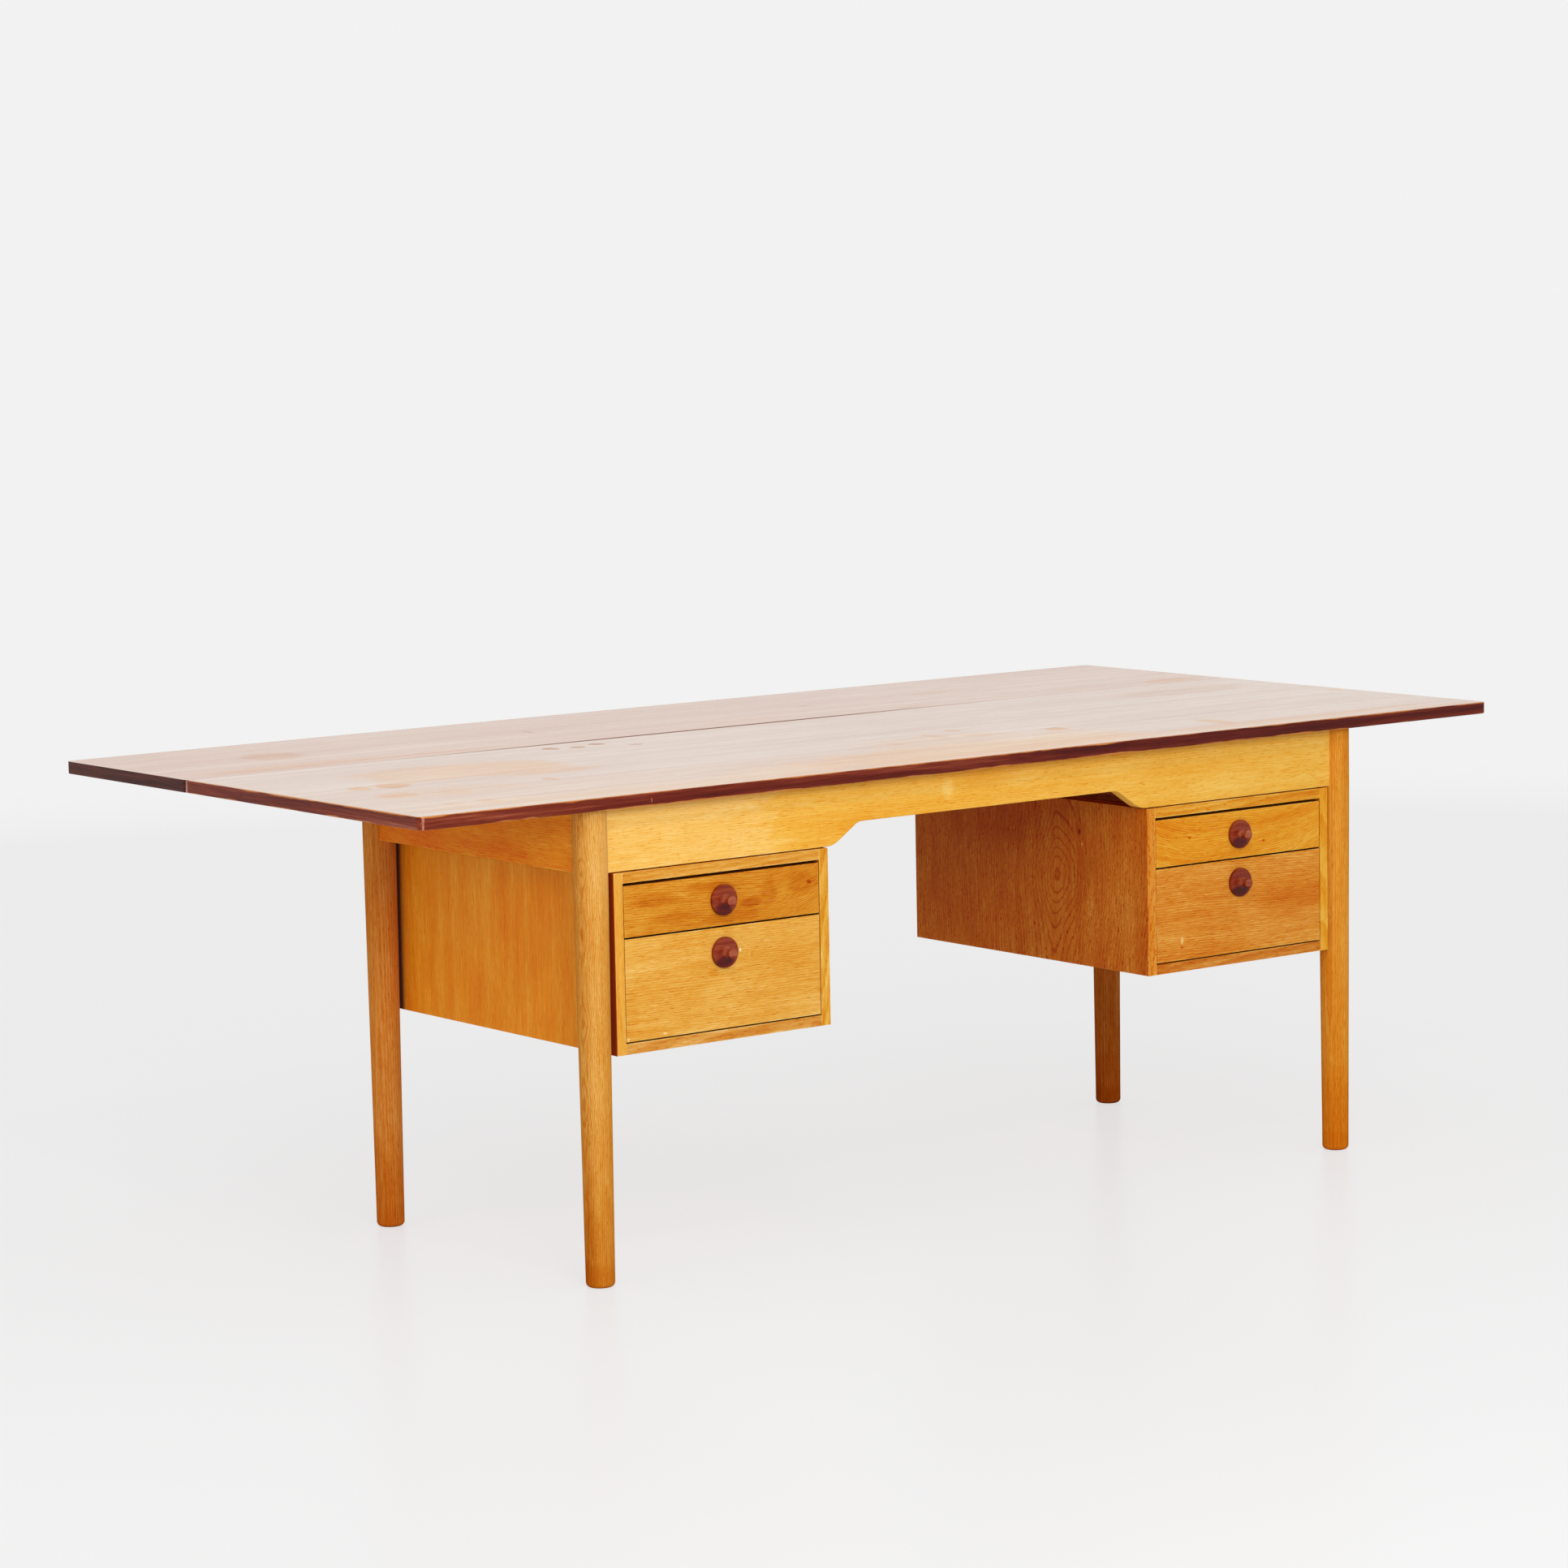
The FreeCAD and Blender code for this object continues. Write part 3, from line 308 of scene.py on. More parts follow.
class Board:
    """One board's look, with the places and the noise that all parts of its material share."""

    def __init__(self, g, node, grain, look):
        self.g, self.grain, self.look = g, grain, look
        self.low, self.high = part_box(node)
        self.half = (self.high - self.low) / 2
        coordinates = g.add("TexCoord").outputs
        self.point, self.normal = coordinates["Object"], coordinates["Normal"]
        offset = g.vector("SUBTRACT", self.point, tuple((self.low + self.high) / 2))
        self.place = board_point(g, offset, grain, self.half)
        along, across = look["ragged"]
        elsewhere = g.vector("ADD", self.place, look["shift"])
        self.ragged = g.noise(elsewhere, (along, across, across), RAGGED_OCTAVES, RAGGED_ROUGHNESS)

    def square_to(self, number, cut):
        """1 on the faces square to one of the board's axes, on both sides of the board."""
        facing = self.g.split(self.normal)[AXES[self.grain][number]]
        return self.g.ramp(self.g.math("ABSOLUTE", facing), *cut)

    def looking(self, direction, cut):
        """1 on the faces that look in a direction."""
        return self.g.ramp(self.g.vector("DOT_PRODUCT", self.normal, direction), *cut)

    def patch(self, middle, half, rim):
        """1 within an uneven oval on the board's face and 0 outside it."""
        g = self.g
        offset = g.vector("SUBTRACT", self.place, (middle[0], 0.0, middle[1]))
        shares = g.vector("MULTIPLY", offset, (1.0 / half[0], 0.0, 1.0 / half[1]))
        uneven = g.math("MULTIPLY", self.ragged, PATCH_RAGGED)
        return g.ramp(g.math("ADD", g.vector("LENGTH", shares), uneven), *rim)

    def marked(self, places):
        """The sum of soft-edged marks on the board's face."""
        total = None
        for middle, half, strength in places:
            mark = self.g.math("MULTIPLY", self.patch(middle, half, MARK_RIM), strength)
            total = mark if total is None else self.g.math("ADD", total, mark)
        return total

    def boxed(self, low, high, soft):
        """1 within a box on the desk that fades inward over the softness along each axis."""
        g = self.g
        share = None
        for place, start, end, width in zip(g.split(self.point), low, high, soft):
            rise = g.ramp(place, start, start + width)
            fall = g.ramp(place, end, end - width)
            both = g.math("MULTIPLY", rise, fall)
            share = both if share is None else g.math("MULTIPLY", share, both)
        return share

    def edge_distance(self):
        """Distance to the nearest arris, for points on the board: the middle one of three distances."""
        g = self.g
        parts = g.split(self.point)
        near = []
        for axis in range(3):
            from_low = g.math("SUBTRACT", parts[axis], self.low[axis])
            from_high = g.math("SUBTRACT", self.high[axis], parts[axis])
            near.append(g.math("ABSOLUTE", g.math("MINIMUM", from_low, from_high)))
        lesser = g.math("MINIMUM", near[0], near[1])
        greater = g.math("MAXIMUM", near[0], near[1])
        return g.math("MAXIMUM", lesser, g.math("MINIMUM", greater, near[2]))


def grain_course(board):
    """Bends board coordinates as the grain runs: swirls round knots, arcs and a slow wander."""
    g, look, point = board.g, board.look, board.place
    knotted = None
    for along, across, size in look["knots"]:
        offset = g.vector("MULTIPLY", g.vector("SUBTRACT", point, (along, 0.0, across)), (1.0, 0.0, 1.0))
        away = g.vector("LENGTH", g.vector("MULTIPLY", offset, KNOT_SHAPE))
        pull = g.math("MULTIPLY", g.ramp(away, KNOT_REACH * size, 0.0), KNOT_PULL)
        point = g.vector("ADD", point, g.vector("MULTIPLY", offset, g.join(pull, pull, pull)))
        core = g.ramp(away, *[share * size for share in KNOT_CORE])
        knotted = core if knotted is None else g.math("MAXIMUM", knotted, core)
    along, inward, across = g.split(point)
    for start, direction, curvature in look["arcs"]:
        past = g.math("MAXIMUM", g.math("MULTIPLY", g.math("SUBTRACT", along, start), direction), 0.0)
        bend = g.math("MULTIPLY", g.math("MULTIPLY", past, past), curvature)
        across = g.math("SUBTRACT", across, bend)
    elsewhere = g.vector("ADD", point, look["shift"])
    slow = g.noise(elsewhere, SLOW_SCALES, 1.0)
    jagged = g.noise(elsewhere, JAGGED_SCALES, 1.0)
    stray = g.weighted((slow, SLOW_SHARE * look["wander"]), (jagged, look["jagged"]))
    return g.join(along, inward, g.math("ADD", across, stray)), knotted


def ring_pattern(board, course):
    """Growth rings round a pith beside the board, darker as each ring ends."""
    g, look = board.g, board.look
    along, inward, across = g.split(course)
    depth = g.math("ADD", inward, look["pith"][0])
    for place, reach, dip in look["loops"]:
        away = g.math("MULTIPLY", g.math("SUBTRACT", along, place), 1.0 / reach)
        square = g.math("MULTIPLY", away, away)
        depth = g.math("SUBTRACT", depth, g.math("DIVIDE", dip, g.math("ADD", square, 1.0)))
    level = g.math("ADD", across, g.math("MULTIPLY_ADD", along, look["lean"], look["pith"][1]))
    radius = g.vector("LENGTH", g.join(0.0, depth, level))
    uneven = g.noise(g.vector("ADD", course, look["shift"]), RING_UNEVEN_SCALES, 1.0)
    phase = g.math("FRACT", g.weighted((radius, 1.0 / look["ring_pitch"]), (uneven, RING_UNEVEN)))
    return g.math("SUBTRACT", g.ramp(phase, look["ring_from"], RING_PEAK), g.ramp(phase, *RING_FALL))


def wood_figure(board):
    """The depth of tone that the wood itself gives, and the dashes, rings and pores in it."""
    g, look = board.g, board.look
    course, knotted = grain_course(board)
    rings = ring_pattern(board, course)
    course = g.vector("ADD", course, look["shift"])
    layers = []
    for (along, across), octaves, weight in look["layers"]:
        layers.append((g.noise(course, (along, across, across), octaves), weight))
    dashes = layers[0][0]
    along, across = look["pore"]
    pore = g.noise(course, (along, across, across), 1.0)
    by_ring = g.math("MULTIPLY_ADD", rings, PORES_BY_RING, 1.0 - PORES_BY_RING)
    pores = g.math("MULTIPLY", g.ramp(pore, look["pore_from"], look["pore_to"]), by_ring)
    figure = g.weighted(*layers, (g.math("SUBTRACT", rings, 0.5), look["ring"]))
    depth = g.weighted((figure, look["contrast"]), (pores, look["pore_depth"]))
    if look["marks"]:
        depth = g.math("ADD", depth, board.marked(look["marks"]))
    if knotted is not None:
        depth = g.math("ADD", depth, knotted)
    return depth, dashes, rings, pores


def worn_share(board):
    """1 on worn arrises and 0 elsewhere."""
    if not board.look["wear"]:
        return 0.0
    g, width = board.g, board.look["wear_width"]
    uneven = g.math("MULTIPLY", board.ragged, WEAR_RAGGED * width)
    return g.ramp(g.math("ADD", board.edge_distance(), uneven), width, WEAR_CORE * width)


def face_depth(board, depth, worn):
    """The depth of tone with what end grain, underside, plies and pale worn arrises add to it."""
    g, look = board.g, board.look
    if look["end_grain"] and board.grain in AXES:
        ends = board.square_to(0, END_FACE)
        depth = g.math("ADD", depth, g.math("MULTIPLY", ends, look["end_grain"]))
    if look["underside"]:
        below = g.ramp(g.split(board.normal)[2], *UNDER_FACE)
        depth = g.math("ADD", depth, g.math("MULTIPLY", below, look["underside"]))
    if look["plies"] is not None:
        stacked = g.split(board.point)[look["plies"]]
        ply = g.math("FRACT", g.math("MULTIPLY", stacked, 0.5 / PLY_THICKNESS))
        depth = g.math("ADD", depth, g.math("MULTIPLY", g.ramp(ply, *PLY_STEP), PLY_CONTRAST))
    if look["wear"] and not look["worn_srgb"]:
        depth = g.math("SUBTRACT", depth, g.math("MULTIPLY", worn, look["wear"]))
    return depth


def base_colour(board, srgb):
    """The board's colour with those of its faces, its patches of use and its painted sheen, and the share that
    these patches cover.
    """
    g, look = board.g, board.look
    base = colour(srgb)
    for direction, face_srgb in look["faces"]:
        base = g.mix(board.looking(direction, OWN_FACE), base, colour(face_srgb))
    patched = None
    for middle, half, share, patch_srgb in look["stains_and_sheen"]:
        patch_share = g.math("MULTIPLY", board.patch(middle, half, PATCH_RIM), share)
        base = g.mix(patch_share, base, colour(patch_srgb))
        patched = patch_share if patched is None else g.math("MAXIMUM", patched, patch_share)
    return base, patched


def with_gap_shade_and_wear(board, tone, worn):
    """The tone under painted shade on the long narrow faces by the gaps, bare arrises and chalky scratches."""
    g, look = board.g, board.look
    # Painted shade: near the front face, the long narrow faces of a drawer front are darkened as the gaps round
    # it would be.
    if look["edges"]:
        inward = g.split(board.place)[1]
        reach = GAP_SHADE_REACH - board.half[AXES[board.grain][1]]
        near_front = g.ramp(inward, reach + GAP_SHADE_FADE, reach)
        on_edge = g.math("MULTIPLY", board.square_to(2, LONG_EDGE), near_front)
        tone = g.mix(g.math("MULTIPLY", on_edge, look["edges"]), tone, colour(PAINTED_SHADE_SRGB))
    if look["worn_srgb"]:
        tone = g.mix(g.math("MULTIPLY", worn, look["wear"]), tone, colour(look["worn_srgb"]))
    if look["scuffs"]:
        scratch = g.ramp(g.noise(board.point, SCRATCH_SCALES, 1.0), *SCRATCH_CUT)
        where = g.ramp(g.noise(board.point, SCUFFED_SCALES, 1.0), *SCUFFED_CUT)
        chalky = g.math("MULTIPLY", g.math("MULTIPLY", scratch, where), look["scuffs"])
        tone = g.mix(chalky, tone, colour(CHALK_SRGB))
    return tone


def coat_weight(board, patched):
    """How much clear polish is left: less where it is bare or stained, and full on top of a lipping."""
    g, look = board.g, board.look
    coat = look["coat"]
    if look["bare"]:
        kept = g.math("SUBTRACT", 1.0, board.marked(look["bare"]), clamp=True)
        coat = g.math("MULTIPLY", kept, coat)
    if patched is not None:
        kept = g.math("MULTIPLY_ADD", patched, -look["thinned"], 1.0)
        coat = g.math("MULTIPLY", kept, coat)
    if board.grain == "ring":
        above = g.ramp(g.split(board.normal)[2], *OWN_FACE)
        coat = g.math("MULTIPLY_ADD", above, 1.0 - coat, coat)
    return coat


def wood(name, node, grain, species, srgb, seed, **own):
    """One board's material. Its tone deepens with the figure, as more of the same dye would do."""
    look = {**COMMON, **SPECIES[species], **own, "shift": tuple(seed * step for step in SEED_STEP)}
    material = bpy.data.materials.new(name)
    g = Graph(material)
    board = Board(g, node, grain, look)
    figure, dashes, rings, pores = wood_figure(board)
    worn = worn_share(board)
    depth = face_depth(board, figure, worn)
    base, patched = base_colour(board, srgb)
    power = g.math("MAXIMUM", g.math("ADD", depth, 1.0), LEAST_DEPTH)
    tone = g.add("Gamma", {0: base, 1: power}).outputs[0]
    tone = with_gap_shade_and_wear(board, tone, worn)
    coat = coat_weight(board, patched)
    # Boxes of painted shade: the tone is darkened and the coat taken off within them.
    for low_corner, high_corner, soft, shade_srgb in look["painted_shade"]:
        painted_shade = board.boxed(low_corner, high_corner, soft)
        tone = g.mix(painted_shade, tone, colour(shade_srgb))
        coat = g.math("MULTIPLY", g.math("SUBTRACT", 1.0, painted_shade), coat)
    sheen = g.weighted((board.ragged, SHEEN_RAGGED), (pores, SHEEN_PORES), (worn, SHEEN_WORN))
    height = g.weighted((dashes, HEIGHT_DASHES), (rings, HEIGHT_RINGS), (pores, HEIGHT_PORES))
    bumped = g.add("Bump", {"Strength": BUMP_STRENGTH, "Distance": look["bump"], "Height": height})
    g.show("Material", g.add("BsdfPrincipled", {
        "Base Color": tone,
        "Roughness": g.math("ADD", sheen, look["roughness"], clamp=True),
        "Specular IOR Level": look["specular"],
        "Normal": bumped.outputs[0],
        "Coat Weight": coat,
        "Coat Roughness": look["coat_roughness"],
    }))
    put(node, material)


# Marks of use on the top: middle and half size along and across, share, colour

MAIN_TOP_STAINS = (
    ((-0.76, 0.160), (0.11, 0.050), 0.60, (232, 174, 108)),
    ((-0.65, 0.100), (0.12, 0.090), 0.70, (232, 174, 108)),
    ((-0.80, 0.080), (0.08, 0.060), 0.60, (232, 174, 108)),
    ((-0.60, 0.010), (0.08, 0.028), 0.60, (232, 174, 108)),
    ((-0.85, -0.090), (0.12, 0.055), 0.35, (233, 177, 114)),
    ((-0.882, 0.024), (0.030, 0.026), 0.95, (221, 157, 82)),
    ((-0.934, 0.030), (0.020, 0.020), 0.90, (223, 159, 85)),
    ((-0.937, -0.080), (0.032, 0.028), 0.75, (225, 162, 87)),
    ((-0.857, -0.108), (0.028, 0.030), 0.60, (227, 166, 94)),
    ((-0.667, -0.071), (0.012, 0.018), 0.80, (215, 150, 83)),
    ((-0.882, -0.233), (0.018, 0.024), 0.80, (221, 156, 83)),
    ((-0.937, -0.225), (0.014, 0.018), 0.70, (222, 158, 86)),
    ((-0.36, -0.240), (0.12, 0.060), 0.45, (234, 179, 113)),
    ((-0.02, -0.230), (0.34, 0.085), 0.75, (235, 178, 110)),
    ((0.04, -0.270), (0.34, 0.050), 0.55, (236, 177, 106)),
    ((0.06, -0.110), (0.16, 0.080), 0.45, (232, 179, 119)),
    ((0.26, -0.210), (0.09, 0.090), 0.45, (234, 178, 112)),
    ((-0.02, -0.292), (0.90, 0.022), 0.50, (236, 179, 113)),
    ((0.09, -0.050), (0.012, 0.034), 0.75, (218, 153, 85)),
    ((0.163, -0.005), (0.014, 0.016), 0.80, (217, 151, 84)),
    ((0.150, -0.080), (0.028, 0.016), 0.70, (221, 157, 86)),
    ((-0.023, -0.090), (0.014, 0.014), 0.70, (220, 156, 86)),
    ((0.293, -0.105), (0.022, 0.018), 0.95, (221, 157, 82)),
    ((0.255, -0.160), (0.014, 0.020), 0.70, (223, 159, 86)),
    ((0.54, -0.220), (0.018, 0.052), 0.75, (225, 162, 87)),
    ((0.62, -0.270), (0.24, 0.022), 0.60, (230, 168, 104)),
    ((0.86, -0.262), (0.10, 0.012), 0.60, (233, 173, 104)),
    ((0.96, -0.295), (0.10, 0.010), 0.60, (233, 173, 104)),
    ((1.033, 0.018), (0.014, 0.016), 0.80, (221, 157, 86)),
    ((-0.435, 0.264), (0.014, 0.014), 1.00, (188, 126, 76)),
    ((-0.391, 0.250), (0.014, 0.012), 0.95, (188, 126, 76)),
    ((-0.345, 0.266), (0.014, 0.013), 1.00, (188, 126, 76)),
    ((-0.303, 0.216), (0.012, 0.010), 0.80, (197, 136, 87)),
    ((0.030, 0.272), (0.020, 0.006), 0.45, (221, 156, 99)),
    ((0.330, 0.266), (0.014, 0.008), 0.50, (221, 156, 99)),
    ((-0.70, -0.265), (0.36, 0.040), 0.50, (233, 185, 130)),
    ((-0.55, -0.200), (0.50, 0.110), 0.22, (231, 182, 129)),
    ((0.85, 0.210), (0.15, 0.060), 0.35, (218, 163, 113)),
)
MAIN_TOP_BARE = (
    ((-0.435, 0.264), (0.014, 0.014), 0.70),
    ((-0.391, 0.250), (0.014, 0.012), 0.65),
    ((-0.345, 0.266), (0.014, 0.013), 0.70),
    ((-0.882, 0.024), (0.030, 0.026), 0.25),
    ((-0.934, 0.030), (0.020, 0.020), 0.20),
    ((0.293, -0.105), (0.022, 0.018), 0.20),
)
LEAF_STAINS = (
    ((-0.85, -0.145), (0.17, 0.024), 0.55, (227, 164, 113)),
    ((-0.60, -0.152), (0.14, 0.012), 0.55, (227, 164, 113)),
    ((-0.80, -0.005), (0.050, 0.050), 0.55, (218, 160, 113)),
    ((-0.317, -0.009), (0.006, 0.016), 0.75, (200, 138, 94)),
    ((0.243, -0.016), (0.010, 0.010), 0.55, (204, 143, 98)),
    ((0.05, -0.120), (0.10, 0.008), 0.55, (225, 160, 109)),
    ((0.36, -0.165), (0.040, 0.008), 0.55, (227, 162, 109)),
    ((0.96, -0.160), (0.06, 0.040), 0.55, (228, 166, 112)),
    ((0.54, -0.005), (0.06, 0.016), 0.35, (215, 158, 112)),
)

# Boards: what sets each one apart. Boards that share a look start from it.

TOP_VENEER = dict(
    grain="flat", species="teak", wear=0.0, thinned=0.60, coat=1.0, coat_roughness=0.24, wander=0.006,
    underside=1.6)
LIPPING = dict(grain="ring", species="teak", ragged=(9.0, 70.0), specular=0.06, pith=(0.0, 0.11))
LEG = dict(grain="z", species="oak", specular=0.0, contrast=0.78, pore_depth=0.70)
FOOT_MARKS = (((-0.33, 0.0), (0.12, 0.20), 0.22), ((-0.345, 0.0), (0.03, 0.20), 0.12))
CASE_SIDE = dict(grain="z", species="oak")
# Drawer fronts carry painted shade on their long narrow faces, by the gaps.
DRAWER_FRONT = dict(grain="x", species="oak", edges=0.93)

BOARDS = {
    "main_top_panel": dict(
        TOP_VENEER, srgb=(213, 168, 131), seed=1.0, specular=0.60, contrast=1.9,
        bare=MAIN_TOP_BARE, stains_and_sheen=MAIN_TOP_STAINS, marks=(
            ((0.55, 0.20), (0.16, 0.05), 0.20),
            ((0.82, 0.19), (0.16, 0.04), 0.30),
            ((0.10, 0.05), (0.20, 0.02), 0.12),
        )),
    "leaf_panel": dict(
        TOP_VENEER, srgb=(213, 160, 121), seed=2.0, specular=0.10, contrast=1.5, stains_and_sheen=LEAF_STAINS),
    "main_top_lipping": dict(
        LIPPING, srgb=(112, 38, 19), seed=80.0, contrast=1.5, wear=0.9, wear_width=0.0021,
        worn_srgb=(204, 126, 60), roughness=0.4, coat=0.20, coat_roughness=0.12,
        faces=((UPWARD, (222, 166, 116)),),
        # A box of painted shade along the seam with the leaf.
        painted_shade=(((-0.78, 0.1249, 0.70), (0.62, 0.1400, 0.73), (0.52, 0.0010, 0.002), SEAM_SHADE_SRGB),), marks=(
            # This first mark lightens a thin band at the rounded front-left corner: a painted highlight.
            ((-1.051, 0.0), (0.0020, 2.0), -0.50),
            ((0.95, 0.0), (0.95, 2.0), 0.34),
            ((-0.660, -0.002), (0.0010, 0.005), -0.65),
        )),
    "leaf_lipping": dict(
        LIPPING, srgb=(72, 26, 16), seed=81.0, contrast=1.0, wear=0.30, wear_width=0.0008,
        worn_srgb=(150, 84, 50), roughness=0.35, coat=0.15, coat_roughness=0.10,
        faces=((UPWARD, (212, 160, 122)),),
        # A box of painted shade along the seam with the main top.
        painted_shade=(((-0.78, 0.1260, 0.70), (0.62, 0.1383, 0.73), (0.52, 0.0010, 0.002), SEAM_SHADE_SRGB),),
        # The mark lightens a thin band at the leaf's rounded corner: a painted highlight.
        marks=(((END_STRIP_SHIFT - 0.183, 0.0), (0.0020, 2.0), -0.70),)),
    "apron_front": dict(
        grain="x", species="oak", srgb=(233, 175, 66), seed=3.0, contrast=0.65, wander=0.002,
        pith=(0.02, 0.30), lean=0.01, scuffs=0.18, thinned=0.0,
        # The pale patch at the left end, and the first mark below, are painted sheen from the key light.
        stains_and_sheen=(((-0.62, 0.0), (0.20, 0.08), 0.45, (238, 190, 104)),), marks=(
            ((-0.70, 0.0), (0.34, 0.30), -0.10),
            ((0.66, 0.0), (0.30, 0.30), -0.08),
            ((-0.085, 0.018), (0.012, 0.020), -0.22),
            ((-0.26, -0.02), (0.05, 0.012), 0.12),
            ((0.46, 0.01), (0.16, 0.02), 0.10),
        )),
    "apron_back": dict(
        grain="x", species="oak", srgb=(226, 152, 40), seed=4.0, wander=0.003, pith=(0.02, 0.28)),
    "apron_left": dict(
        grain="y", species="oak", srgb=(231, 127, 10), seed=5.0, contrast=0.8, wander=0.008,
        arcs=((-0.02, 1.0, 0.5),), pith=(0.02, 0.22),
        marks=(((-0.24, 0.0), (0.16, 0.30), -0.16), ((0.22, 0.0), (0.14, 0.30), 0.10))),
    "apron_right": dict(
        grain="y", species="oak", srgb=(222, 136, 26), seed=6.0, contrast=0.8, wander=0.006, pith=(0.02, 0.24)),
    "leg_front_left": dict(
        LEG, srgb=(208, 143, 58), seed=10.0, wander=0.003, jagged=0.004, ring=0.26, ring_pitch=0.0030,
        # Its left-looking side is given a darker colour: painted shade.
        ring_from=0.45, pith=(0.045, 0.006), lean=0.04, faces=(((-1.0, 0.0, 0.0), (196, 124, 42)),),
        loops=((-0.08, 0.03, 0.006), (0.04, 0.02, 0.005), (0.17, 0.03, 0.005), (0.26, 0.02, 0.005)),
        marks=(((-0.33, 0.0), (0.12, 0.20), 0.26), ((-0.345, 0.0), (0.03, 0.20), 0.16),
               ((0.30, 0.0), (0.12, 0.2), -0.16))),
    "leg_back_left": dict(
        LEG, srgb=(205, 127, 50), seed=11.0, wander=0.003, pith=(0.04, 0.03), lean=0.03, marks=FOOT_MARKS),
    "leg_front_right": dict(
        LEG, srgb=(216, 140, 44), seed=12.0, wander=0.004, pith=(0.05, 0.02), lean=-0.02, marks=FOOT_MARKS),
    "leg_back_right": dict(
        LEG, srgb=(175, 99, 34), seed=13.0, wander=0.003, pith=(0.06, 0.01), lean=0.02, marks=FOOT_MARKS),
    "case_left_outer_side": dict(
        CASE_SIDE, srgb=(230, 140, 27), seed=20.0, contrast=0.8, pore_depth=0.55, wander=0.004, ring=0.12,
        pith=(0.03, 0.50), scuffs=0.04, faces=((FRONTWARD, (224, 164, 64)),), painted_shade=(
            # Painted shadow of the front leg on the flank beside it, then painted shade by the back leg.
            ((-0.7160, -0.5100, 0.30), (-0.7118, -0.4200, 0.65), (0.0006, 0.0250, 0.01), LEG_SHADOW_SRGB),
            ((-0.7160, 0.0820, 0.30), (-0.7118, 0.1200, 0.65), (0.0006, 0.0120, 0.01), PAINTED_SHADE_SRGB),
        )),
    "case_left_inner_side": dict(
        CASE_SIDE, srgb=(206, 118, 22), seed=21.0, wander=0.006, ring=0.28, ring_pitch=0.0052,
        pith=(0.07, -0.05), lean=0.08, loops=((-0.05, 0.08, 0.03),), faces=((FRONTWARD, (216, 150, 42)),)),
    "case_right_outer_side": dict(
        CASE_SIDE, srgb=(216, 128, 24), seed=22.0, wander=0.005, ring=0.26, ring_pitch=0.0048,
        pith=(0.06, 0.06), lean=-0.05, faces=((FRONTWARD, (224, 154, 36)),)),
    "case_right_inner_side": dict(
        CASE_SIDE, srgb=(187, 90, 11), seed=23.0, contrast=0.75, wander=0.012, jagged=0.009, ring=0.46,
        ring_from=0.70, ring_pitch=0.0056, pith=(0.075, 0.073), lean=0.06, loops=((0.01, 0.07, 0.04),),
        knots=((0.083, -0.128, 0.0036), (0.058, 0.114, 0.0020)), marks=(
            ((0.064, -0.1335), (0.004, 0.0016), -0.60),
            ((0.12, 0.10), (0.08, 0.20), 0.16),
            ((0.0, -0.22), (0.30, 0.12), -0.02),
        ), faces=((FRONTWARD, (208, 121, 27)),)),
    "drawer_left_upper_front": dict(
        DRAWER_FRONT, srgb=(206, 134, 33), seed=40.0, wander=0.008, arcs=((0.072, 1.0, 2.2),),
        pith=(0.02, 0.14), lean=0.05, scuffs=0.06, knots=((0.160, 0.011, 0.0032),), marks=(
            ((0.050, -0.008), (0.020, 0.008), 0.40),
            ((-0.120, 0.012), (0.040, 0.010), 0.22),
            ((-0.090, -0.018), (0.050, 0.008), 0.20),
            ((-0.020, 0.020), (0.060, 0.010), 0.28),
            ((0.012, -0.026), (0.050, 0.008), 0.22),
            ((0.085, 0.004), (0.014, 0.024), 0.18),
            ((0.150, 0.012), (0.030, 0.018), 0.22),
        )),
    "drawer_left_lower_front": dict(
        DRAWER_FRONT, srgb=(222, 163, 67), seed=41.0, wander=0.002, pith=(0.02, 0.22), lean=0.01,
        scuffs=0.15, marks=(
            ((-0.110, -0.070), (0.004, 0.002), -0.50),
            ((-0.176, -0.072), (0.003, 0.003), -0.50),
            ((0.030, 0.038), (0.002, 0.003), -0.80),
            ((0.051, 0.030), (0.001, 0.004), 0.70),
            ((-0.018, 0.010), (0.012, 0.008), 0.25),
            ((0.090, 0.020), (0.060, 0.012), 0.10),
        )),
    "drawer_right_upper_front": dict(
        DRAWER_FRONT, srgb=(221, 145, 30), seed=42.0, wander=0.010,
        arcs=((-0.05, -1.0, 1.2), (0.03, 1.0, 1.3)), pith=(0.02, 0.12), lean=0.03, scuffs=0.05,
        knots=((-0.107, 0.004, 0.0024), (0.054, -0.015, 0.0022))),
    "drawer_right_lower_front": dict(
        DRAWER_FRONT, srgb=(214, 138, 45), seed=43.0, contrast=1.1, wander=0.006, pith=(0.02, 0.16),
        lean=0.03, scuffs=0.06, marks=(
            ((-0.125, -0.044), (0.003, 0.007), -0.40),
            ((-0.125, -0.055), (0.003, 0.002), 0.80),
            ((-0.06, 0.03), (0.07, 0.020), 0.16),
            ((0.10, -0.01), (0.06, 0.018), 0.14),
        )),
}

# Boards that come in sets, each board of a set with its own seed

SEEDS = {"case_rail": 24.0, "case_back": 30.0, "runners": 32.0, "drawer_back": 54.0, "drawer_bottom": 58.0,
         "under_top": 70.0, "drawer_side": 78.0, "knob": 90.0}
DRAWER_SIDE_STEP = 5.0  # from the seed of one drawer's left side to the next one's
RIGHT_SIDE_STEP = 1.0  # from the seed of a left side to that of its right side

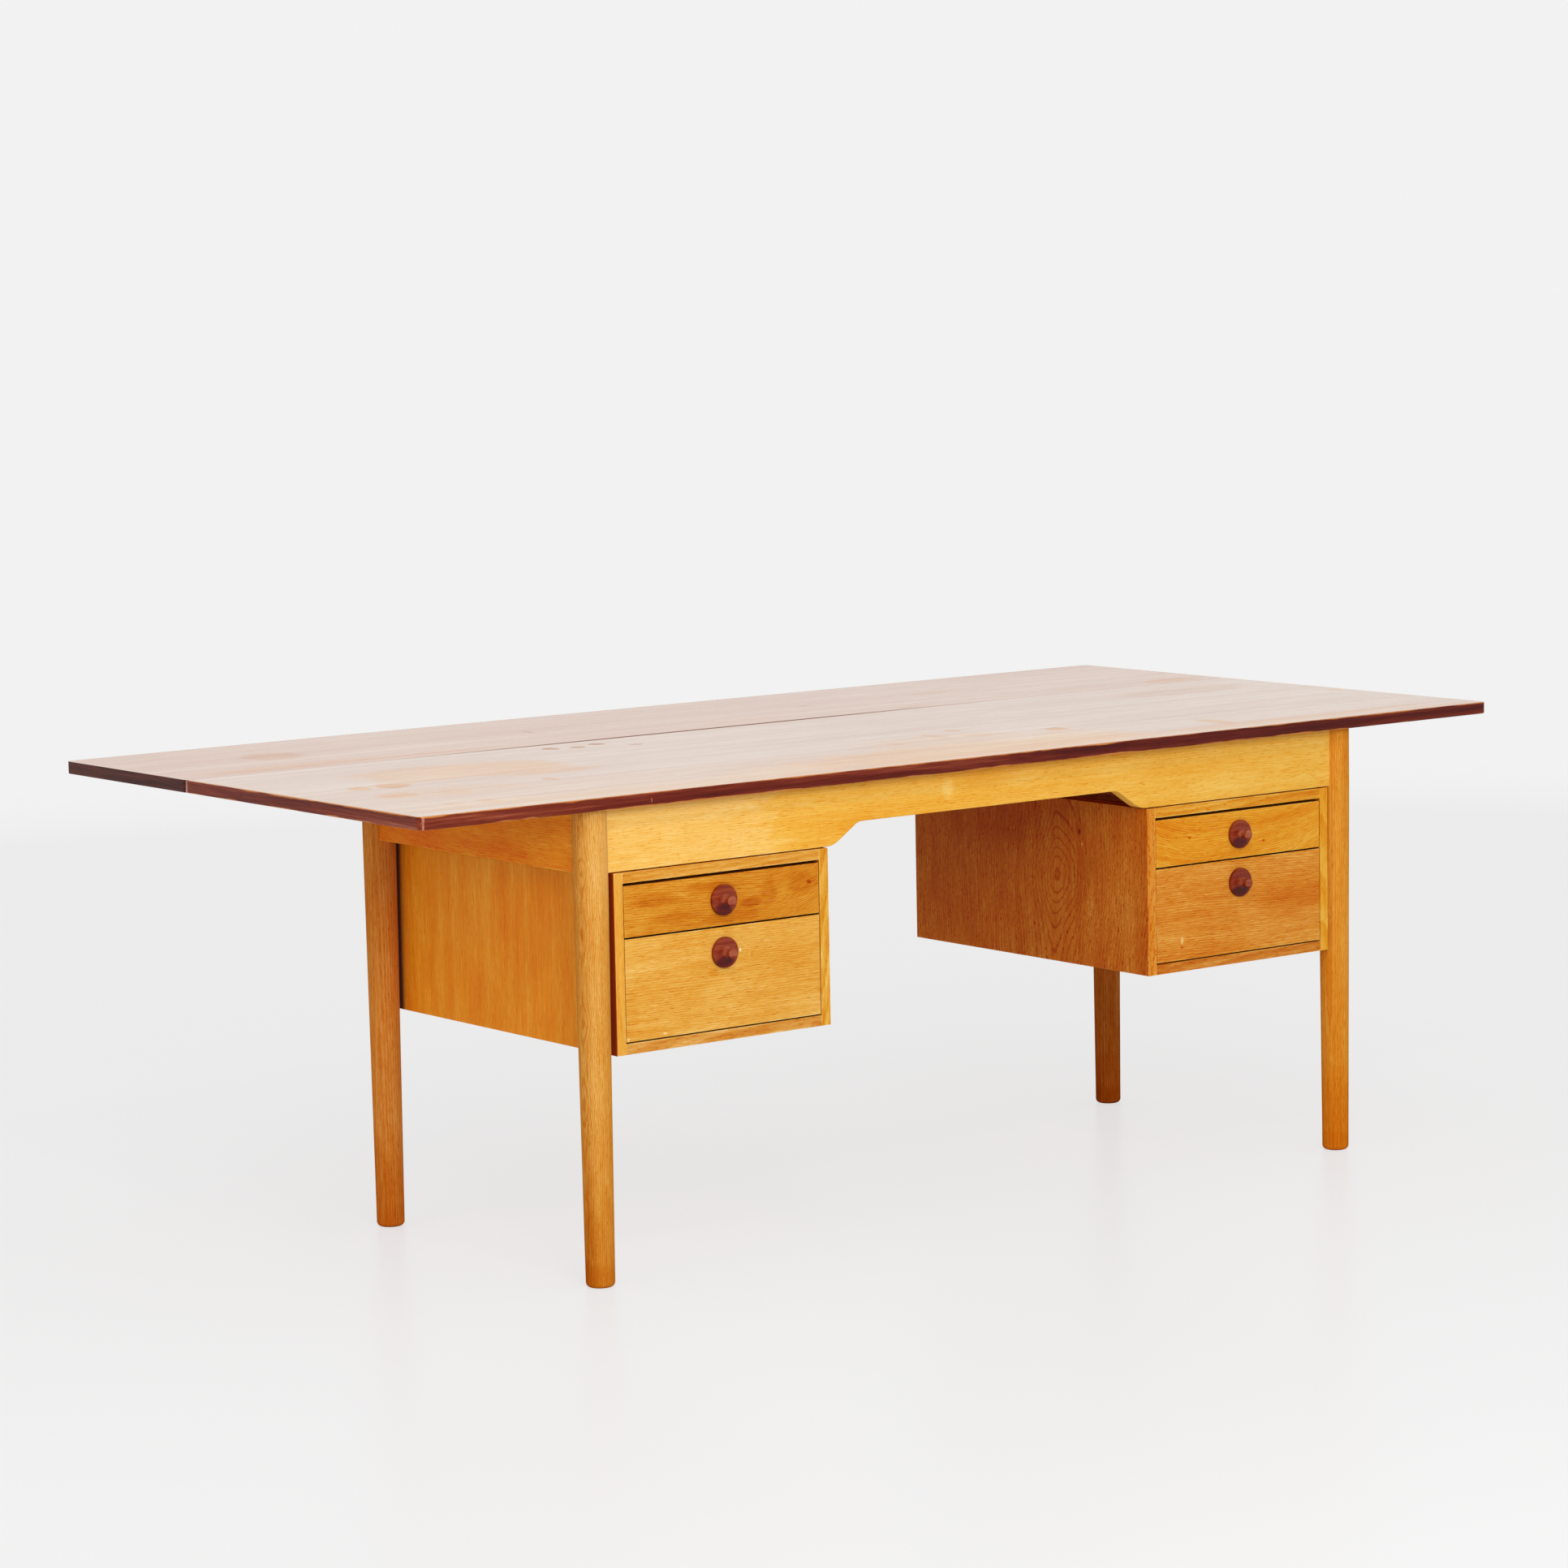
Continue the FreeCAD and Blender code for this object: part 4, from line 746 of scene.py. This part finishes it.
CASE_RAIL = dict(grain="flat", species="oak", srgb=(208, 126, 34), wander=0.004)
RAIL_FRONTS = {"left_top": (214, 150, 56), "left_bottom": (204, 134, 48),
               "right_top": (214, 136, 28), "right_bottom": (200, 120, 36)}
for number, (part, front_srgb) in enumerate(RAIL_FRONTS.items()):
    BOARDS["case_" + part] = dict(
        CASE_RAIL, seed=SEEDS["case_rail"] + number, faces=((FRONTWARD, front_srgb),))

CASE_BACK = dict(
    grain="z", species="plain", srgb=(214, 172, 118), wander=0.008, plies=1, pith=(0.05, 0.04), ring=0.25,
    ring_pitch=0.009)
RUNNERS = dict(grain="y", species="plain", srgb=(212, 170, 116))
for number, side in enumerate(("left", "right")):
    BOARDS[f"case_{side}_back"] = dict(CASE_BACK, seed=SEEDS["case_back"] + number)
    BOARDS[f"case_{side}_runners"] = dict(RUNNERS, seed=SEEDS["runners"] + number)

DRAWER_SIDE = dict(grain="y", species="plain", srgb=(222, 184, 132), pith=(0.02, 0.16))
DRAWER_BACK = dict(grain="x", species="plain", srgb=(220, 182, 130))
DRAWER_BOTTOM = dict(
    grain="flat", species="plain", srgb=(216, 180, 132), plies=2, wander=0.008, ring=0.25, ring_pitch=0.009)
KNOB = dict(
    grain="x", species="teak", srgb=(134, 46, 16), contrast=1.2, wear=0.5, wear_width=0.0007,
    worn_srgb=(176, 96, 54), end_grain=0.0, roughness=0.35, specular=0.05, coat=0.34, coat_roughness=0.03,
    bump=0.00003, pith=(0.03, 0.01), thinned=0.0,
    stains_and_sheen=(((0.0, 0.0), (0.0078, 0.0078), 0.50, (172, 92, 62)),),
    # The mark darkens the disc below the stud: a painted shadow.
    marks=(((-0.004, -0.014), (0.016, 0.011), 0.75),))
for number, drawer in enumerate(("left_upper", "left_lower", "right_upper", "right_lower")):
    side_seed = SEEDS["drawer_side"] + DRAWER_SIDE_STEP * number
    BOARDS[f"drawer_{drawer}_left_side"] = dict(DRAWER_SIDE, seed=side_seed)
    BOARDS[f"drawer_{drawer}_right_side"] = dict(DRAWER_SIDE, seed=side_seed + RIGHT_SIDE_STEP)
    BOARDS[f"drawer_{drawer}_back"] = dict(DRAWER_BACK, seed=SEEDS["drawer_back"] + number)
    BOARDS[f"drawer_{drawer}_bottom"] = dict(DRAWER_BOTTOM, seed=SEEDS["drawer_bottom"] + number)
    BOARDS[f"drawer_{drawer}_knob"] = dict(KNOB, seed=SEEDS["knob"] + number)

# The cross rails are given a dark colour: painted shade of the deep space under the top.
SHADED_RAIL_SRGB = (150, 74, 32)
BEARER_SRGB = (210, 140, 56)
UNDER_TOP = {
    "cross_rails_left": ("y", SHADED_RAIL_SRGB), "cross_rails_right": ("y", SHADED_RAIL_SRGB),
    "bearer_guides": ("y", BEARER_SRGB), "leaf_bearer_left": ("y", BEARER_SRGB),
    "leaf_bearer_right": ("y", BEARER_SRGB), "top_glue_blocks": ("x", BEARER_SRGB),
}
for number, (node, (grain, srgb)) in enumerate(UNDER_TOP.items()):
    BOARDS[node] = dict(grain=grain, species="oak", srgb=srgb, seed=SEEDS["under_top"] + number)

for node, look in BOARDS.items():
    wood(node + "_finish", node, **look)


# Metal

SCRATCHED_SCALES = (60.0, 2500.0, 2500.0)
SCRATCHED_OCTAVES = 2.0
FILM_SCALES = (120.0, 120.0, 120.0)
FILM_OCTAVES = 3.0
FILM_LEVEL = 0.5
FILM_SHARE = 0.5
FILM_SHADE = 0.45
FILM_ROUGHNESS = 0.25
SCRATCH_ROUGHNESS = 0.1
METAL_BUMP = {"Strength": 0.3, "Distance": 0.00003}
BRASS = dict(srgb=(196, 160, 92), roughness=0.30)
STEEL = dict(srgb=(150, 148, 146), roughness=0.38)


def metal(name, nodes, srgb, roughness):
    """Drawn metal with fine scratches and a dull film in patches."""
    material = bpy.data.materials.new(name)
    g = Graph(material)
    point = g.add("TexCoord").outputs["Object"]
    scratch = g.noise(point, SCRATCHED_SCALES, SCRATCHED_OCTAVES)
    film = g.math("ADD", g.noise(point, FILM_SCALES, FILM_OCTAVES), FILM_LEVEL)
    tone = g.mix(g.math("MULTIPLY", film, FILM_SHARE), colour(srgb), shade(srgb, FILM_SHADE))
    bumped = g.add("Bump", {**METAL_BUMP, "Height": scratch})
    g.show("Material", g.add("BsdfPrincipled", {
        "Base Color": tone,
        "Metallic": 1.0,
        "Roughness": g.weighted((film, FILM_ROUGHNESS), (scratch, SCRATCH_ROUGHNESS), (1.0, roughness)),
        "Normal": bumped.outputs[0],
    }))
    for node in nodes:
        put(node, material)


metal("hinge_brass_finish", ("hinge_fixed_plates", "hinge_leaf_plates", "hinge_pins"), **BRASS)
metal("screw_steel_finish", ("hinge_fixed_screws", "hinge_leaf_screws", "case_screws"), **STEEL)


# Floor, backdrop and light

def light_path_share(g, names):
    """1 for the rays named, 0 for the others."""
    paths = g.add("LightPath").outputs
    total = paths[names[0]]
    for name in names[1:]:
        total = g.math("MAXIMUM", total, paths[name])
    return total


def make_floor():
    """A pale floor that takes the desk's shadow and melts into the backdrop."""
    size = FLOOR_HALF_SIZE
    mesh = bpy.data.meshes.new("studio_floor")
    corners = [(x, y, -FLOOR_DROP) for x, y in ((-size, -size), (size, -size), (size, size), (-size, size))]
    mesh.from_pydata(corners, [], [(0, 1, 2, 3)])
    floor = bpy.data.objects.new("studio_floor", mesh)
    bpy.context.scene.collection.objects.link(floor)
    material = bpy.data.materials.new("studio_floor_paint")
    g = Graph(material)
    point = g.add("TexCoord").outputs["Object"]
    fade = g.ramp(g.vector("LENGTH", point), *FLOOR_FADE)
    paint = g.add("BsdfPrincipled", {
        "Base Color": colour(FLOOR_SRGB),
        "Roughness": FLOOR_ROUGHNESS,
        "Specular IOR Level": FLOOR_SPECULAR,
    })
    plain = g.add("Emission", {"Color": colour(BACKDROP_SRGB), "Strength": 1.0})
    seen = light_path_share(g, ("Is Camera Ray", "Is Glossy Ray"))
    share = g.math("MULTIPLY", g.math("MAXIMUM", fade, FLOOR_OWN_LIGHT), seen)
    g.show("Material", g.add("MixShader", {0: share, 1: paint.outputs[0], 2: plain.outputs[0]}))
    mesh.materials.append(material)


def make_world():
    """A pale backdrop for what is seen or mirrored, and a plain even light for the rest."""
    world = bpy.data.worlds.new("studio")
    bpy.context.scene.world = world
    g = Graph(world)
    ambient = g.add("Background", {"Color": (*AMBIENT, 1.0), "Strength": 1.0})
    backdrop = g.add("Background", {"Color": colour(BACKDROP_SRGB), "Strength": 1.0})
    seen = light_path_share(g, ("Is Camera Ray", "Is Glossy Ray", "Is Transmission Ray"))
    g.show("World", g.add("MixShader", {0: seen, 1: ambient.outputs[0], 2: backdrop.outputs[0]}))


def make_light(name, place, size, power, mirrored):
    """A rectangular lamp turned towards the desk, seen as a highlight in glossy surfaces if mirrored."""
    data = bpy.data.lights.new(name, "AREA")
    data.shape = "RECTANGLE"
    data.size, data.size_y = size
    data.energy = power
    lamp = bpy.data.objects.new(name, data)
    lamp.location = place
    lamp.rotation_mode = "QUATERNION"
    lamp.rotation_quaternion = (LIGHT_AIM - place).to_track_quat("-Z", "Y")
    lamp.visible_camera = False
    lamp.visible_glossy = mirrored
    bpy.context.scene.collection.objects.link(lamp)


def make_camera():
    """The photograph's point of view."""
    data = bpy.data.cameras.new("photo_view")
    data.sensor_width = SENSOR_MM
    data.lens = FOCAL_PIXELS / IMAGE_PIXELS * SENSOR_MM
    camera = bpy.data.objects.new("photo_view", data)
    up = Vector((0.0, 0.0, 1.0))
    level_ahead = Vector((-math.sin(CAMERA_YAW), math.cos(CAMERA_YAW), 0.0))
    right = Vector((math.cos(CAMERA_YAW), math.sin(CAMERA_YAW), 0.0))
    ahead = level_ahead * math.cos(CAMERA_PITCH) + up * math.sin(CAMERA_PITCH)
    above = up * math.cos(CAMERA_PITCH) - level_ahead * math.sin(CAMERA_PITCH)
    x_axis = right * math.cos(CAMERA_ROLL) + above * math.sin(CAMERA_ROLL)
    y_axis = above * math.cos(CAMERA_ROLL) - right * math.sin(CAMERA_ROLL)
    turn = Matrix((x_axis, y_axis, -ahead)).transposed()
    camera.matrix_world = Matrix.Translation(CAMERA_PLACE) @ turn.to_4x4()
    bpy.context.scene.collection.objects.link(camera)
    bpy.context.scene.camera = camera


make_floor()
make_world()
make_light("key_softbox", SOFTBOX_PLACE, SOFTBOX_SIZE, SOFTBOX_POWER, False)
make_light("key_lamp", LAMP_PLACE, LAMP_SIZE, LAMP_POWER, True)
make_light("fill_softbox", FILL_PLACE, FILL_SIZE, FILL_POWER, False)
make_camera()

bpy.context.scene.view_settings.view_transform = "Standard"
